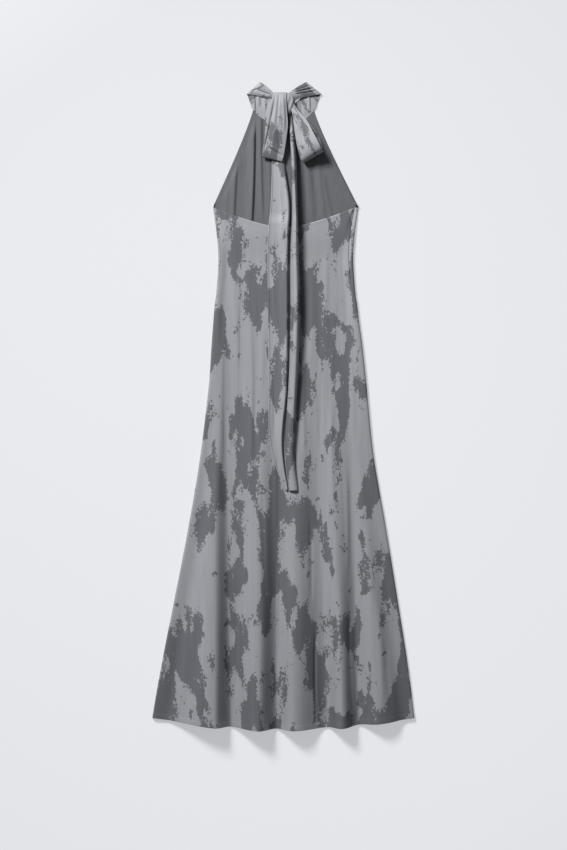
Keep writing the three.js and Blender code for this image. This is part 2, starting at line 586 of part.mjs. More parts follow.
sew("front_panel", frontPanel(), COLOURS.wrongSide);
sew("back_panel", backPanel(), COLOURS.patterned);
sew("neck_band_front", bandFront(), COLOURS.patterned);
sew("neck_band_left", clearOfKnot(bandBack(BAND_LEFT, PLEATS_LEFT)), COLOURS.patterned);
sew("neck_band_right", clearOfKnot(bandBack(BAND_RIGHT, PLEATS_RIGHT)), COLOURS.patterned);
sew("bow_knot", knotGeometry(0), COLOURS.patterned);
sew("bow_loop_left", clearOfKnot(loop(LOOP_LEFT)), COLOURS.patterned);
sew("bow_loop_right", clearOfKnot(loop(LOOP_RIGHT)), COLOURS.patterned);
sew("tie_left", clearOfKnot(tie(TIE_LEFT, 1)), COLOURS.patterned);
sew("tie_right", clearOfKnot(tie(TIE_RIGHT, FAR_EDGE)), COLOURS.patterned);

export default dress;
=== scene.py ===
# A long halter dress of satin jacquard, laid flat on its front with its back up, seen from above.
# The scene is in metres. The tables of the cut and its folds are in millimetres, on the same axes:
# X across the dress, Y from the hem to the neck, Z up from the surface that it lies on.
import math

import bpy
import numpy as np
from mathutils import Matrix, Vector


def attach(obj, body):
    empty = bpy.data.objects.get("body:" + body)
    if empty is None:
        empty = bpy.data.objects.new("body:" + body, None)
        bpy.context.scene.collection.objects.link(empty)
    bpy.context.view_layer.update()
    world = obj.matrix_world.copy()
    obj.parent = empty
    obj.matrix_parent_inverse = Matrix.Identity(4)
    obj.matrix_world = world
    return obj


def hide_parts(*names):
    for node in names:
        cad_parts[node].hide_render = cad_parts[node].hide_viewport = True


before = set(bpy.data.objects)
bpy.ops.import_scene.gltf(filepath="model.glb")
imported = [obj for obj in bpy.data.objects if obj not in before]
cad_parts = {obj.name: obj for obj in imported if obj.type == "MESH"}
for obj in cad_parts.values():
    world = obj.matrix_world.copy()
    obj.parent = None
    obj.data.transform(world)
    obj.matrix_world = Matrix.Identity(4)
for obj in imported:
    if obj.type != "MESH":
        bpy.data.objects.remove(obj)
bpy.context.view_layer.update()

bl_info = {
    "name": "Halter Dress",
    "version": (1, 0, 0),
    "blender": (4, 5, 0),
    "location": "View3D > Sidebar > Dress",
    "description": "Builds a long halter dress laid flat, piece by piece, with its cloth and a studio",
    "category": "Object",
}

MM = 0.001
SEAM_GAP = 0.3


def table(columns, rows):
    """A table with named columns, each as an array with one value for each row."""
    return dict(zip(columns.split(), np.array(rows, float).T))


# The dress from above, from hem to underarm: its side edges, its thickness there, and how far the
# front's cloth wraps on past the right edge.
OUTLINE = table("y left right thick wrap", [
    (-743.5, -300.8, 300.6, 6, 1),
    (-719.5, -299.8, 299.4, 6, 1),
    (-610, -281.3, 286.2, 6.4, 1),
    (-444, -248.8, 260.2, 7, 1),
    (-278, -216.6, 233.4, 7.5, 1),
    (-113, -189.2, 205.3, 8, 1),
    (53, -169.4, 188.8, 8, 1),
    (135, -164, 180, 8, 1),
    (218, -157.8, 169.2, 8, 2),
    (329, -150, 160.2, 8, 6),
    (391, -153.5, 163.6, 7.5, 7),
    (455, -162.4, 172.4, 3, 7),
])
UNDERARM_Y = 455
HIP_Y = -113
HEM_Y = -719.5
# The hem hangs lower in its middle, and the back's top edge rises from its middle to the underarms.
HEM_DROP = 24
BACK_EDGE_Y = 407
BACK_EDGE_RISE = 46
BACK_EDGE_BEND = 1.5

# How far the front's cloth lies flat past its left side fold, before the back's begins.
SEAM_EDGE = 1
# The armholes are hollow by this much, most above their middle, and their edges curl up at the foot.
HOLLOW_LEFT = 4
HOLLOW_RIGHT = 4.5
HOLLOW_HIGH = 0.7
ARMHOLE_CURL = 10
LEAST_TURN = 0.02
# The front's folds fade out below the back's top edge, and towards the side folds.
FRONT_FADE_FROM = 372
FRONT_FADE_OVER = 56
FRONT_FADE_SIDE = 14
RIPPLE = {"high": 0.5, "across": 9, "along": 80, "beat": 47}
# The pattern runs on round the front's side folds at this share of their bend, and moves away from
# the back's pattern, by metres of cloth, over this far in from the edges.
ROUND_SHARE = 0.5
UNDER_CLOTH = 0.1
UNDER_OVER = 150

# Below the bodice the back's cloth runs on round the side folds, by an angle in radians, and falls
# slowly from them. On the bodice it stops at the seams and falls over a few radii of the fold.
LAP_FROM = 290
LAP_OVER = 80
LAP_TURN = 2.2
LAP_LEAST = 0.002
SIDE_SLOPE = 50
BODICE_SLOPE = 4
# The bodice stands off the front towards its top edge, and the rest of the back a little everywhere.
BODICE_LIFT = 4.5
BODICE_FROM = 325
BODICE_OVER = 80
BACK_CLEAR = 0.6
SWELLS = table("high across along phase", [(0.35, 17, 95, 0), (0.25, 31, -140, 2)])

# The ties step up from the front to the back near its top edge, and lie this far above each.
TIE_STEP_FROM = 34
TIE_STEP_OVER = 26
OVER_FRONT = 3
OVER_BACK = 0.7
# At its right edge a tie's outer face lies this share of its thickness above what is under it.
TIE_FAR_EDGE = 0.2
# The ties' left edges are rolled: how high, how far in and how wide.
ROLL = {"high": 1.1, "in": 1.6, "wide": 1.2}

# A turned edge is thicker up to its stitching, which dimples the cloth. The back's top edge is
# turned by a share of the hem's width.
TOP_TURNED = 0.6
TURNED = {"high": 0.3, "fade": 4, "dimple": 0.12, "stitch": 2, "wide": 0.9}

# Flutes of the back's skirt: the crest and its spread at the hem and at the hip, its height at the
# hem, and where it starts to rise.
FLUTES = table("hem_x hem_left hem_right hip_x hip_left hip_right height start", [
    (-158, 124, 39, -157, 34, 28, 42, 270),
    (-58, 65, 43, -50, 70, 36, 42, 90),
    (24, 41, 76, 36, 50, 40, 34, 60),
    (134, 34, 40, 116, 42, 42, 37, 60),
    (219, 48, 80, 178, 28, 34, 28, 40),
])
# A flute rises by this power of the way down from its start, and is nowhere narrower to a side.
FLUTE_GROWTH = 1.4
FLUTE_LEAST = 14

# Creases that the cloth lies in. Each runs from its top to its foot. It is a ridge if high is
# positive and a trough if negative, and it falls away over one width to its left and one to its right.
CREASES = "top_x top_y foot_x foot_y left right high"
# They bow to alternate sides by a share of their length, and fade out over a share at each end.
CREASE_BOW = 0.01
CREASE_ENDS = 0.3
BACK_CREASES = table(CREASES, [
    (-146, 300, -144, 120, 5, 4, -1.6),
    (-138, 180, -141, -160, 9, 4, 1.8),
    (-120, 330, -104, 60, 7, 9, 1.2),
    (-93, 300, -96, -60, 5, 6, -1.4),
    (-78, 250, -76, -180, 9, 5, 1.5),
    (-64, 60, -60, -260, 7, 8, -1.3),
    (-48, 200, -52, 20, 6, 7, 1.1),
    (-47, -160, -40, -480, 6, 5, -1.8),
    (-108, -380, -104, -735, 10, 12, -4.0),
    (-92, -420, -84, -742, 7, 5, 1.6),
    (-190, -330, -204, -700, 12, 9, -2.2),
    (-176, -180, -186, -460, 6, 7, 1.4),
    (-226, -480, -238, -722, 9, 7, 1.8),
    (-250, -560, -262, -722, 7, 9, -1.4),
    (-22, -60, -20, -330, 7, 5, 1.6),
    (-8, -300, -6, -640, 8, 6, -1.8),
    (14, -360, 10, -742, 7, 6, 1.9),
    (46, 120, 50, -140, 8, 5, 1.4),
    (66, 320, 60, 60, 6, 8, 1.2),
    (74, -500, 75, -740, 4, 2.4, -3.4),
    (60, -240, 63, -480, 5, 4, -1.8),
    (84, 180, 86, -120, 5, 6, -1.4),
    (98, 360, 92, 160, 8, 6, 1.1),
    (112, 40, 116, -300, 8, 5, 1.6),
    (118, -380, 112, -700, 5, 6, -1.6),
    (130, 260, 124, -20, 6, 7, -1.2),
    (142, -120, 146, -420, 7, 4, 1.7),
    (150, -440, 158, -735, 6, 4, -2.2),
    (152, 180, 160, -100, 6, 5, 1.3),
    (184, -220, 192, -520, 6, 8, -1.4),
    (214, -420, 226, -728, 8, 6, 1.9),
    (232, -520, 248, -724, 6, 8, -1.6),
    (268, -600, 280, -719, 8, 7, 1.2),
])

# The front's folds between the neck seam and the back's top edge.
FRONT_FOLDS = table(CREASES, [
    (-69, 762, -79.5, 326, 9, 3, 6.6),
    (-105, 610, -117, 340, 12, 3.4, 3.8),
    (-90, 610, -95, 360, 7, 6, -1),
    (-51, 740, -47, 400, 7, 3, 2.8),
    (-34, 655, -34, 380, 7, 6, 1.4),
    (-84, 570, -90, 360, 5, 6, 1.3),
    (-128, 525, -139, 380, 8, 6, 1.6),
    (-22, 640, -20, 400, 5, 7, -1.2),
    (38, 640, 42, 400, 8, 6, 1.6),
    (54, 655, 70, 380, 9, 8, 2),
    (66, 650, 97, 380, 10, 5, 1.9),
    (84, 570, 122, 380, 9, 5, 1.6),
    (60, 600, 82, 420, 5, 7, -1.1),
    (110, 520, 140, 400, 6, 6, -1.1),
])

# The front half of the neck band, between its left and right folds: the lower edge is the neck seam
# in the middle stretch.
BAND_FRONT = table("at low_x low_y high_x high_y", [
    (0, -82.2, 711.4, -50.6, 739.4),
    (0.12, -77.5, 697, -42, 718),
    (0.25, -70, 679, -33, 702),
    (0.37, -45, 656, -20, 691),
    (0.5, 0, 637, 0, 685),
    (0.63, 47, 655, 21, 691),
    (0.75, 70.5, 677, 37, 703),
    (0.88, 79.5, 697, 44, 719),
    (1, 84.2, 712.1, 49.1, 739.1),
])
SEAM_FROM = 0.25
SEAM_TO = 0.75
BAND_PUFF = 0.8
BAND_GATHERS = {"high": 0.2, "across": 5, "along": 11, "most": 3.4, "ends": 0.05}
# The back halves' creases begin past the fold at the side, and their pleats stand up in the middle.
BAND_CREASES_FROM = 0.08
BAND_CREASES_OVER = 0.14
PLEAT_RISE = 1.2

# Gathers in the band's front half.
BAND_FRONT_FOLDS = table(CREASES, [
    (-69, 717, -66, 664, 5, 1.6, 3.2),
    (-58, 728, -57, 680, 2.5, 2.5, 1.2),
    (-52, 724, -50, 682, 2, 1.6, -2),
    (-74, 716, -71, 686, 3, 2.4, 0.9),
    (-44, 716, -42, 664, 3, 3, 0.9),
    (-36, 706, -37, 656, 3, 2, -1.1),
    (-28, 702, -29, 652, 3, 3, 0.8),
    (-16, 694, -17, 644, 3, 2.5, -0.9),
    (14, 692, 15, 642, 2.5, 3, -0.9),
    (30, 708, 44, 656, 3, 3, 1.2),
    (40, 704, 40, 652, 3, 3, -0.9),
    (52, 716, 50, 664, 3, 3, 0.9),
    (56, 719, 61, 672, 4, 1.5, 2.4),
    (58, 722, 60, 684, 2.5, 2.5, 1),
    (76, 722, 77, 684, 2, 2.5, -1.2),
])

# The back halves of the band, from the fold at the side of the neck to the knot.
BAND_LEFT = table("at low_x low_y high_x high_y low_z high_z pleat", [
    (0, -82.7, 711.9, -51.1, 739.9, 0.8, 0.8, 0),
    (0.05, -84.2, 713.2, -52.4, 741.6, 1.8, 1.8, 0),
    (0.1, -84.8, 713.6, -53, 742.3, 3.8, 3.8, 0),
    (0.16, -83.5, 713.6, -52, 741.3, 4.6, 6.4, 0.3),
    (0.25, -75, 713.4, -48, 738, 4.4, 8.2, 0.8),
    (0.6, -49, 708.5, -34.5, 727, 4.8, 9.6, 1.4),
    (0.85, -31, 703.5, -23.5, 717, 7, 11, 1.5),
    (1, -12, 694, -8, 708, 11, 12, 1.2),
])
BAND_RIGHT = table("at low_x low_y high_x high_y low_z high_z pleat", [
    (0, 84.7, 712.6, 49.6, 739.6, 0.8, 0.8, 0),
    (0.05, 86.2, 714, 51.2, 741.2, 1.8, 1.8, 0),
    (0.1, 86.7, 714.6, 51.8, 741.6, 3.8, 3.8, 0),
    (0.16, 85.2, 714.2, 50.6, 740.6, 5.4, 6.6, 0.4),
    (0.25, 77, 712.6, 45.5, 737.6, 5.8, 8.6, 1.2),
    (0.6, 50, 707.3, 27, 726.5, 6.4, 10, 2),
    (0.85, 31, 702, 12, 714.5, 6.5, 12, 2),
    (1, 20, 690, 8, 703, 9.5, 12.5, 1.6),
])

KNOT = {"x": 10.8, "y": 691.5, "z": 11.5, "rx": 13.8, "ry": 24, "rz": 8.5, "wall": 0.8}
WRAPS = {"number": 7, "deep": 0.1, "twist": 2, "end": 0.04}

# The bow's loops, from the knot down the upper layer, round the fold and back up the lower layer.
LOOP = "at left_x left_y right_x right_y left_z right_z crown"
LOOP_LEFT = table(LOOP, [
    (0, -18.5, 711.5, 4.5, 712, 3.6, 3.6, 0),
    (0.04, -19.5, 715, 6, 715.6, 6.5, 6.5, 0),
    (0.08, -20.3, 716, 6.7, 717, 12, 12, 0),
    (0.12, -22, 712.5, 6.8, 713, 18.4, 18.4, 0.5),
    (0.17, -27.5, 698, 6.6, 698.5, 23.4, 23.4, 1.2),
    (0.26, -40, 670.5, 8, 670.5, 23.8, 23.8, 2.5),
    (0.34, -41.6, 641, 10, 641, 23, 23, 3),
    (0.44, -43.6, 607.5, 6, 605, 20.4, 20.4, 2),
    (0.52, -48, 583, 1.5, 576, 16.4, 16.4, 1),
    (0.57, -48.6, 570, -1.8, 559, 12.6, 12.6, 0),
    (0.62, -48, 574, -1.5, 563, 9.6, 9.6, 0),
    (0.72, -43, 603, 1.5, 599, 9.4, 9.4, 0),
    (0.86, -36, 645, 6, 645, 9.4, 9.4, 0),
    (1, -16, 688, 6, 688, 10.6, 10.6, 0),
])
LOOP_RIGHT = table(LOOP, [
    (0, 12, 689, 20, 694, 15, 15, 0),
    (0.1, 19.8, 669, 34, 674, 17.5, 17.5, 1.5),
    (0.2, 22.8, 649, 50.5, 654, 20, 27, 2.5),
    (0.32, 27.3, 615.5, 66.5, 623, 22, 38, 2),
    (0.44, 33.5, 581, 80.5, 595, 25, 43, 1),
    (0.5, 39.5, 561.5, 86.5, 582, 24, 37, 0),
    (0.55, 46, 554.5, 90.3, 579.5, 16, 20, 0),
    (0.6, 43.5, 562, 91, 586, 6.4, 6.4, 0),
    (0.72, 37, 598, 84.5, 609, 5.4, 5.4, 0),
    (0.84, 33, 632, 68, 637, 5.6, 5.6, 0),
    (0.93, 27, 660, 48.5, 661, 6.6, 6.6, 0),
    (1, 15, 689, 24, 693, 10, 10, 0),
])
# Where along a loop its upper and its lower layer are creased.
LOOP_UPPER = {"start": 0.1, "end": 0.57, "over": 0.05}
LOOP_LOWER = {"start": 0.6, "end": 0.95, "over": 0.06}

# Creases in the back halves of the band, which fan out from the knot.
BAND_LEFT_FOLDS = table(CREASES, [
    (-86, 716, -58, 726, 2.6, 1.8, -1.6),
    (-66, 727, -22, 709, 1.9, 1.6, -2.6),
    (-44, 734, -20, 722, 1.8, 1.6, -1.2),
    (-62, 733, -24, 718, 3, 3, 0.8),
    (-70, 719, -18, 701, 1.8, 1.8, 0.8),
])
BAND_RIGHT_FOLDS = table(CREASES, [
    (66, 736, 12, 717, 1.7, 1.4, -1.8),
    (78, 729, 14, 714, 1.7, 1.4, -1.9),
    (84, 723, 14, 711, 1.7, 1.4, -1.7),
    (72, 732.5, 16, 716, 1.8, 1.8, 0.8),
    (80, 726, 16, 712.5, 1.8, 1.8, 0.8),
])
LOOP_LEFT_FOLDS = table(CREASES, [
    (-17, 716, -47, 570, 2.6, 3.8, -3.6),
    (-9, 722, -15, 630, 3, 2.4, -1.8),
    (-2, 718, 1, 620, 3, 3, 1.3),
    (-40, 594, 3, 566, 1.8, 3, -3.2),
    (-25, 665, -21, 590, 5, 4, 1.4),
    (-12, 650, -8, 580, 4, 5, -1.3),
    (4, 700, 7, 620, 2, 2, -1),
])
LOOP_RIGHT_FOLDS = table(CREASES, [
    (20, 690, 33, 630, 2.5, 3, -1.8),
    (25, 680, 45, 612, 3, 2.4, 1.6),
    (34, 650, 60, 580, 4, 5, -1.5),
    (30, 650, 40, 575, 4, 3, 1.3),
    (48, 625, 74, 584, 4, 3, 1),
])

# Creases in the loops' lower layers, behind the openings that face the skirt.
LOOP_LEFT_UNDER_FOLDS = table(CREASES, [
    (-32, 690, -42, 586, 3, 3, -1.0),
    (-8, 690, -16, 590, 5, 6, 1.2),
])
LOOP_RIGHT_UNDER_FOLDS = table(CREASES, [
    (26, 680, 44, 570, 5, 4, -1.2),
])

# The ties, from their slanted ends up to the knot. Each is a strip that stands up along its middle.
TIE = "y left right height crest"
TIE_LEFT = table(TIE, [
    (-196, 4.6, 9.6, 3.5, 0.7),
    (-188, 0.6, 9.6, 4.5, 0.76),
    (-144, -17.5, 2.4, 7, 0.84),
    (-101, -28.5, -2, 8.5, 0.88),
    (-57, -33.8, -1.2, 9.5, 0.9),
    (35, -34, 7.8, 10.5, 0.9),
    (207, -35.2, 11, 11, 0.9),
    (380, -36.6, 10.8, 11, 0.9),
    (453, -30.2, 14.4, 10.5, 0.9),
    (529, -27.2, 6.2, 6.5, 0.84),
    (564, -26.7, 2.4, 2.6, 0.72),
    (610, -22, 4.4, 2.2, 0.6),
    (661, -17, 7.6, 2.2, 0.55),
    (686, -8, 7.4, 2.4, 0.5),
])
TIE_RIGHT = table(TIE, [
    (-197, 12.4, 33.5, 6, 0.5),
    (-188, 12, 33, 7, 0.5),
    (-144, 6.6, 27.4, 11, 0.5),
    (-101, 3.8, 25.6, 14, 0.55),
    (-57, 4.4, 26.6, 17, 0.6),
    (76, 12.4, 34, 22, 0.62),
    (164, 14.7, 37, 25, 0.64),
    (251, 15.4, 38, 27, 0.64),
    (341, 15.4, 35.5, 27, 0.62),
    (428, 19, 33.5, 26, 0.58),
    (495, 19, 31.5, 25, 0.5),
    (573, 17, 29.6, 22, 0.42),
    (612, 14.6, 26, 18, 0.42),
    (640, 13, 23.6, 10, 0.45),
    (665, 11.4, 20, 3, 0.5),
    (688, 9.4, 17, 2.4, 0.5),
])
TIE_LEFT_FOLDS = table(CREASES, [
    (-6, 520, 8, 330, 3, 1.8, -2.2),
    (-22, 420, -20, 180, 3, 4, 1.0),
    (-10, 330, -12, 60, 4, 3, -1.0),
    (-2, 220, -4, -40, 3, 4, 0.9),
    (-24, 120, -22, -90, 3, 3, -0.9),
])
TIE_RIGHT_FOLDS = table(CREASES, [
    (22, 470, 24, 300, 2, 2, -0.9),
    (26, 300, 24, 60, 2, 2, 0.8),
    (20, 120, 16, -120, 2, 2, -0.9),
])

# How much cloth the gathered pieces take, in metres, and where on the cloth each piece of the band,
# the bow and the ties is cut, so that no two show the same patches. The right loop's cut also puts
# a dark stretch of the ground in its opening, as painted shade.
BAND_FRONT_CLOTH = 0.3
BAND_BACK_CLOTH = 0.14
LOOP_CLOTH = 0.42
BAND_CLOTH_WIDE = 0.07
CUT_AT = {
    "band_front": 3.3,
    "band_left": 3.48,
    "band_right": 3.9,
    "knot": 4.2,
    "loop_left": 4.6,
    # The right loop is cut where a dark stretch of the ground falls in its opening, as painted shade under
    # its upper layer.
    "loop_right": 4.948,
    "tie_right": 5.4,
    "tie_left": 5.7,
}

# The studio, in metres but for the camera's sensor. The view is 850 pixels tall, at 2.3 mm each.
FLOOR_HALF = 5
FLOOR_Z = -0.0004
LAMP_SIZE = 1
LAMP_PLACE = (-1.76, 2.56, 2.4)
LAMP_AIM = (0, -0.1, 0)
FILL_COLOUR = (0.96, 0.98, 1, 1)
SENSOR_TALL = 36
VIEW_TALL = 1.955
VIEW_Y = -0.046
# The paper's colour is darker towards the lamp and lighter away from it, along a direction that slants
# across the view: painted shade near the lamp and painted light away from it, which cancel the lamp's fall
# of light so that the lit paper looks even.
PAPER_SLANT = -0.68
PAPER_NEAR = -1.28
PAPER_FAR = 1.12
# The paper also glows evenly by itself, a painted light that lightens the shadows cast on it.
PAPER_GLOW = 0.53

# How many places the pieces' grids have across them, and along them where their rows are even.
ACROSS = {"front": 251, "back": 271, "band_front": 41, "band_back": 81, "loop": 65, "tie": 49, "knot": 97}
ALONG = {"seam": 61, "band_front": 201, "band_back": 121, "loop": 281, "tie": 361, "knot": 65}
AROUND_FOLD = 10

# The two sides of a piece lie side by side on its UV map, and its edge in a strip below them.
UV_SIZE = [0.48, 0.96]
UV_CORNER = [0.01, 0.03]
UV_LOWER_SIDE = [0.5, 0]
UV_EDGE = [0.004, 0.016, 0.016, 0.004]


def mix(a, b, t):
    """What lies at the share t of the way from a to b."""
    return a + (b - a) * t


def ease(t):
    """A smooth step from 0 to 1."""
    t = np.clip(t, 0, 1)
    return t * t * (3 - 2 * t)


def between(at, start, end, over):
    """1 between two places, falling smoothly to 0 at each of them."""
    return ease((at - start) / over) * ease((end - at) / over)


def evenly(count):
    """Shares from 0 to 1, in a column of an array."""
    return np.linspace(0, 1, count)[:, None]


def read(rows, key, column, at):
    """A column of a table at places between its rows, on a smooth curve through them."""
    keys = rows[key]
    values = rows[column]
    at = np.asarray(at, float)
    last = len(keys) - 1
    i = np.clip(np.searchsorted(keys, at) - 1, 0, last - 1)

    def slope(k):
        before = np.maximum(k - 1, 0)
        after = np.minimum(k + 1, last)
        return (values[after] - values[before]) / (keys[after] - keys[before])

    step = keys[i + 1] - keys[i]
    t = np.clip((at - keys[i]) / step, 0, 1)
    rise = values[i + 1] - values[i]
    bend = (1 - t) * (slope(i) * step - rise) - t * (slope(i + 1) * step - rise)
    return values[i] + rise * t + t * (1 - t) * bend


def read_all(rows, key, at):
    """Every column of a table at places between its rows, by its name."""
    return {column: read(rows, key, column, at) for column in rows}


def each(rows):
    """The rows of a table, one after another."""
    for values in zip(*rows.values()):
        yield dict(zip(rows, values))


def steps(start, *stretches):
    """Places from start to the end of each stretch, evenly apart within it."""
    places = [[start]]
    for end, count in stretches:
        places.append(np.linspace(start, end, count + 1)[1:])
        start = end
    return np.concatenate(places)


def section(y):
    """The dress's side edges, side folds and seams at y."""
    at = read_all(OUTLINE, "y", y)
    at["radius"] = at["thick"] / 2
    at["seam_left"] = at["left"] + at["radius"] + SEAM_EDGE + SEAM_GAP
    at["seam_right"] = at["right"] - at["radius"] - at["wrap"] - SEAM_GAP
    return at


def creases(rows, x, y):
    """How far the creases of a table raise the cloth at x and y."""
    raised = np.zeros(np.broadcast(x, y).shape)
    bowed = CREASE_BOW
    for row in each(rows):
        run_x = row["foot_x"] - row["top_x"]
        run_y = row["foot_y"] - row["top_y"]
        length = math.hypot(run_x, run_y)
        down = ((x - row["top_x"]) * run_x + (y - row["top_y"]) * run_y) / length ** 2
        bow = bowed * length * np.sin(math.pi * np.clip(down, 0, 1))
        bowed = -bowed
        away = ((y - row["top_y"]) * run_x - (x - row["top_x"]) * run_y) / length - bow
        width = np.where(away < 0, row["left"], row["right"])
        raised += row["high"] * between(down, 0, 1, CREASE_ENDS) * np.exp(-((away / width) ** 2))
    return raised


def flutes(x, y):
    """How high the skirt's flutes stand at x and y."""
    down = (HIP_Y - y) / (HIP_Y - HEM_Y)
    height = np.zeros(np.broadcast(x, y).shape)
    for flute in each(FLUTES):
        grown = np.maximum(0, (flute["start"] - y) / (flute["start"] - HEM_Y)) ** FLUTE_GROWTH
        away = x - mix(flute["hip_x"], flute["hem_x"], down)
        to_left = mix(flute["hip_left"], flute["hem_left"], down)
        to_right = mix(flute["hip_right"], flute["hem_right"], down)
        spread = np.maximum(np.where(away < 0, to_left, to_right), FLUTE_LEAST)
        wave = 0.5 + 0.5 * np.cos(math.pi * np.clip(away / spread, -1, 1))
        height += flute["height"] * grown * wave
    return height


def back_under(x, y, cloth):
    """Height of the back's inner face: on the front in the valleys, and up on its folds."""
    at = section(y)
    rest = cloth + SEAM_GAP + BODICE_LIFT * ease((y - BODICE_FROM) / BODICE_OVER)
    fall = mix(at["radius"] * BODICE_SLOPE, SIDE_SLOPE, ease((LAP_FROM - y) / LAP_FROM))
    from_left = ease((x - at["seam_left"]) / fall)
    from_right = ease((at["seam_right"] - x) / fall)
    over = (cloth + SEAM_GAP) * ease((LAP_FROM - y) / LAP_OVER)
    side = (2 * at["radius"] - cloth + over - rest) * (2 - from_left - from_right)
    free = from_left * from_right
    lifted = np.maximum(flutes(x, y) + creases(BACK_CREASES, x, y), -BACK_CLEAR)
    swell = 0
    for row in each(SWELLS):
        swell = swell + row["high"] * (1 + np.sin(x / row["across"] + y / row["along"] + row["phase"]))
    return rest + side + (lifted + swell + BACK_CLEAR) * free


def tie_rest(x, y, cloth):
    """What the ties lie on: the front above the back's top edge, and the back below it."""
    on_back = ease((BACK_EDGE_Y + TIE_STEP_FROM - y) / TIE_STEP_OVER)
    back_top = back_under(x, np.minimum(y, BACK_EDGE_Y), cloth) + cloth
    return mix(cloth + OVER_FRONT, back_top + OVER_BACK, on_back) + SEAM_GAP


def normals(face):
    """The unit normals of a grid of points."""
    padded = np.pad(face, ((1, 1), (1, 1), (0, 0)), mode="edge")
    across = padded[1:-1, 2:] - padded[1:-1, :-2]
    along = padded[:-2, 1:-1] - padded[2:, 1:-1]
    normal = np.cross(across, along)
    return normal / np.linalg.norm(normal, axis=2, keepdims=True)


def new_piece(name, face, under, over, pattern, materials, node):
    """A closed thin piece between two layers of a grid, under and over it along its normals.

    materials are the upper side's and the lower side's. pattern holds the place of each point in
    the cloth, in metres, which the materials read.
    """
    rows, columns = face.shape[:2]
    normal = normals(face)
    low = face + normal * np.broadcast_to(under, (rows, columns))[..., None]
    high = face + normal * np.broadcast_to(over, (rows, columns))[..., None]
    points = np.concatenate([low.reshape(-1, 3), high.reshape(-1, 3)]) * MM
    count = rows * columns
    number = np.arange(count).reshape(rows, columns)
    a, b = number[:-1, :-1].ravel(), number[:-1, 1:].ravel()
    c, d = number[1:, 1:].ravel(), number[1:, :-1].ravel()
    rim = np.concatenate([number[0, :-1], number[:-1, -1], number[-1, :0:-1], number[:0:-1, 0]])
    ahead = np.roll(rim, -1)
    lower = np.stack([a, b, c, d], 1)
    upper = np.stack([a, d, c, b], 1) + count
    edge = np.stack([rim, rim + count, ahead + count, ahead], 1)
    faces = np.concatenate([lower, upper, edge])
    mesh = bpy.data.meshes.new(name)
    mesh.vertices.add(len(points))
    mesh.vertices.foreach_set("co", points.ravel())
    mesh.loops.add(faces.size)
    mesh.loops.foreach_set("vertex_index", faces.ravel())
    mesh.polygons.add(len(faces))
    mesh.polygons.foreach_set("loop_start", np.arange(0, faces.size, 4))
    mesh.polygons.foreach_set("material_index", np.repeat([1, 0, 0], [len(lower), len(upper), len(edge)]))
    mesh.polygons.foreach_set("use_smooth", np.arange(len(faces)) < len(lower) + len(upper))
    share = np.stack(np.meshgrid(np.linspace(0, 1, columns), np.linspace(1, 0, rows)), 2).reshape(-1, 2)
    flat = share * UV_SIZE + UV_CORNER
    uv = np.concatenate([flat + UV_LOWER_SIDE, flat])[faces]
    walk = np.linspace(UV_CORNER[0], 1 - UV_CORNER[0], len(edge) + 1)
    uv[-len(edge):, :, 0] = np.stack([walk[:-1], walk[:-1], walk[1:], walk[1:]], 1)
    uv[-len(edge):, :, 1] = UV_EDGE
    layer = mesh.uv_layers.new(name="OFBake")
    layer.data.foreach_set("uv", uv.ravel())
    place = mesh.attributes.new("cloth", "FLOAT_VECTOR", "POINT")
    place.data.foreach_set("vector", np.tile(pattern.reshape(-1, 3), (2, 1)).ravel())
    for material in materials:
        mesh.materials.append(material)
    mesh.update()
    mesh.validate()
    piece = bpy.data.objects.new(name, mesh)
    bpy.context.scene.collection.objects.link(piece)
    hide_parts(node)
    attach(piece, "root")
    return piece


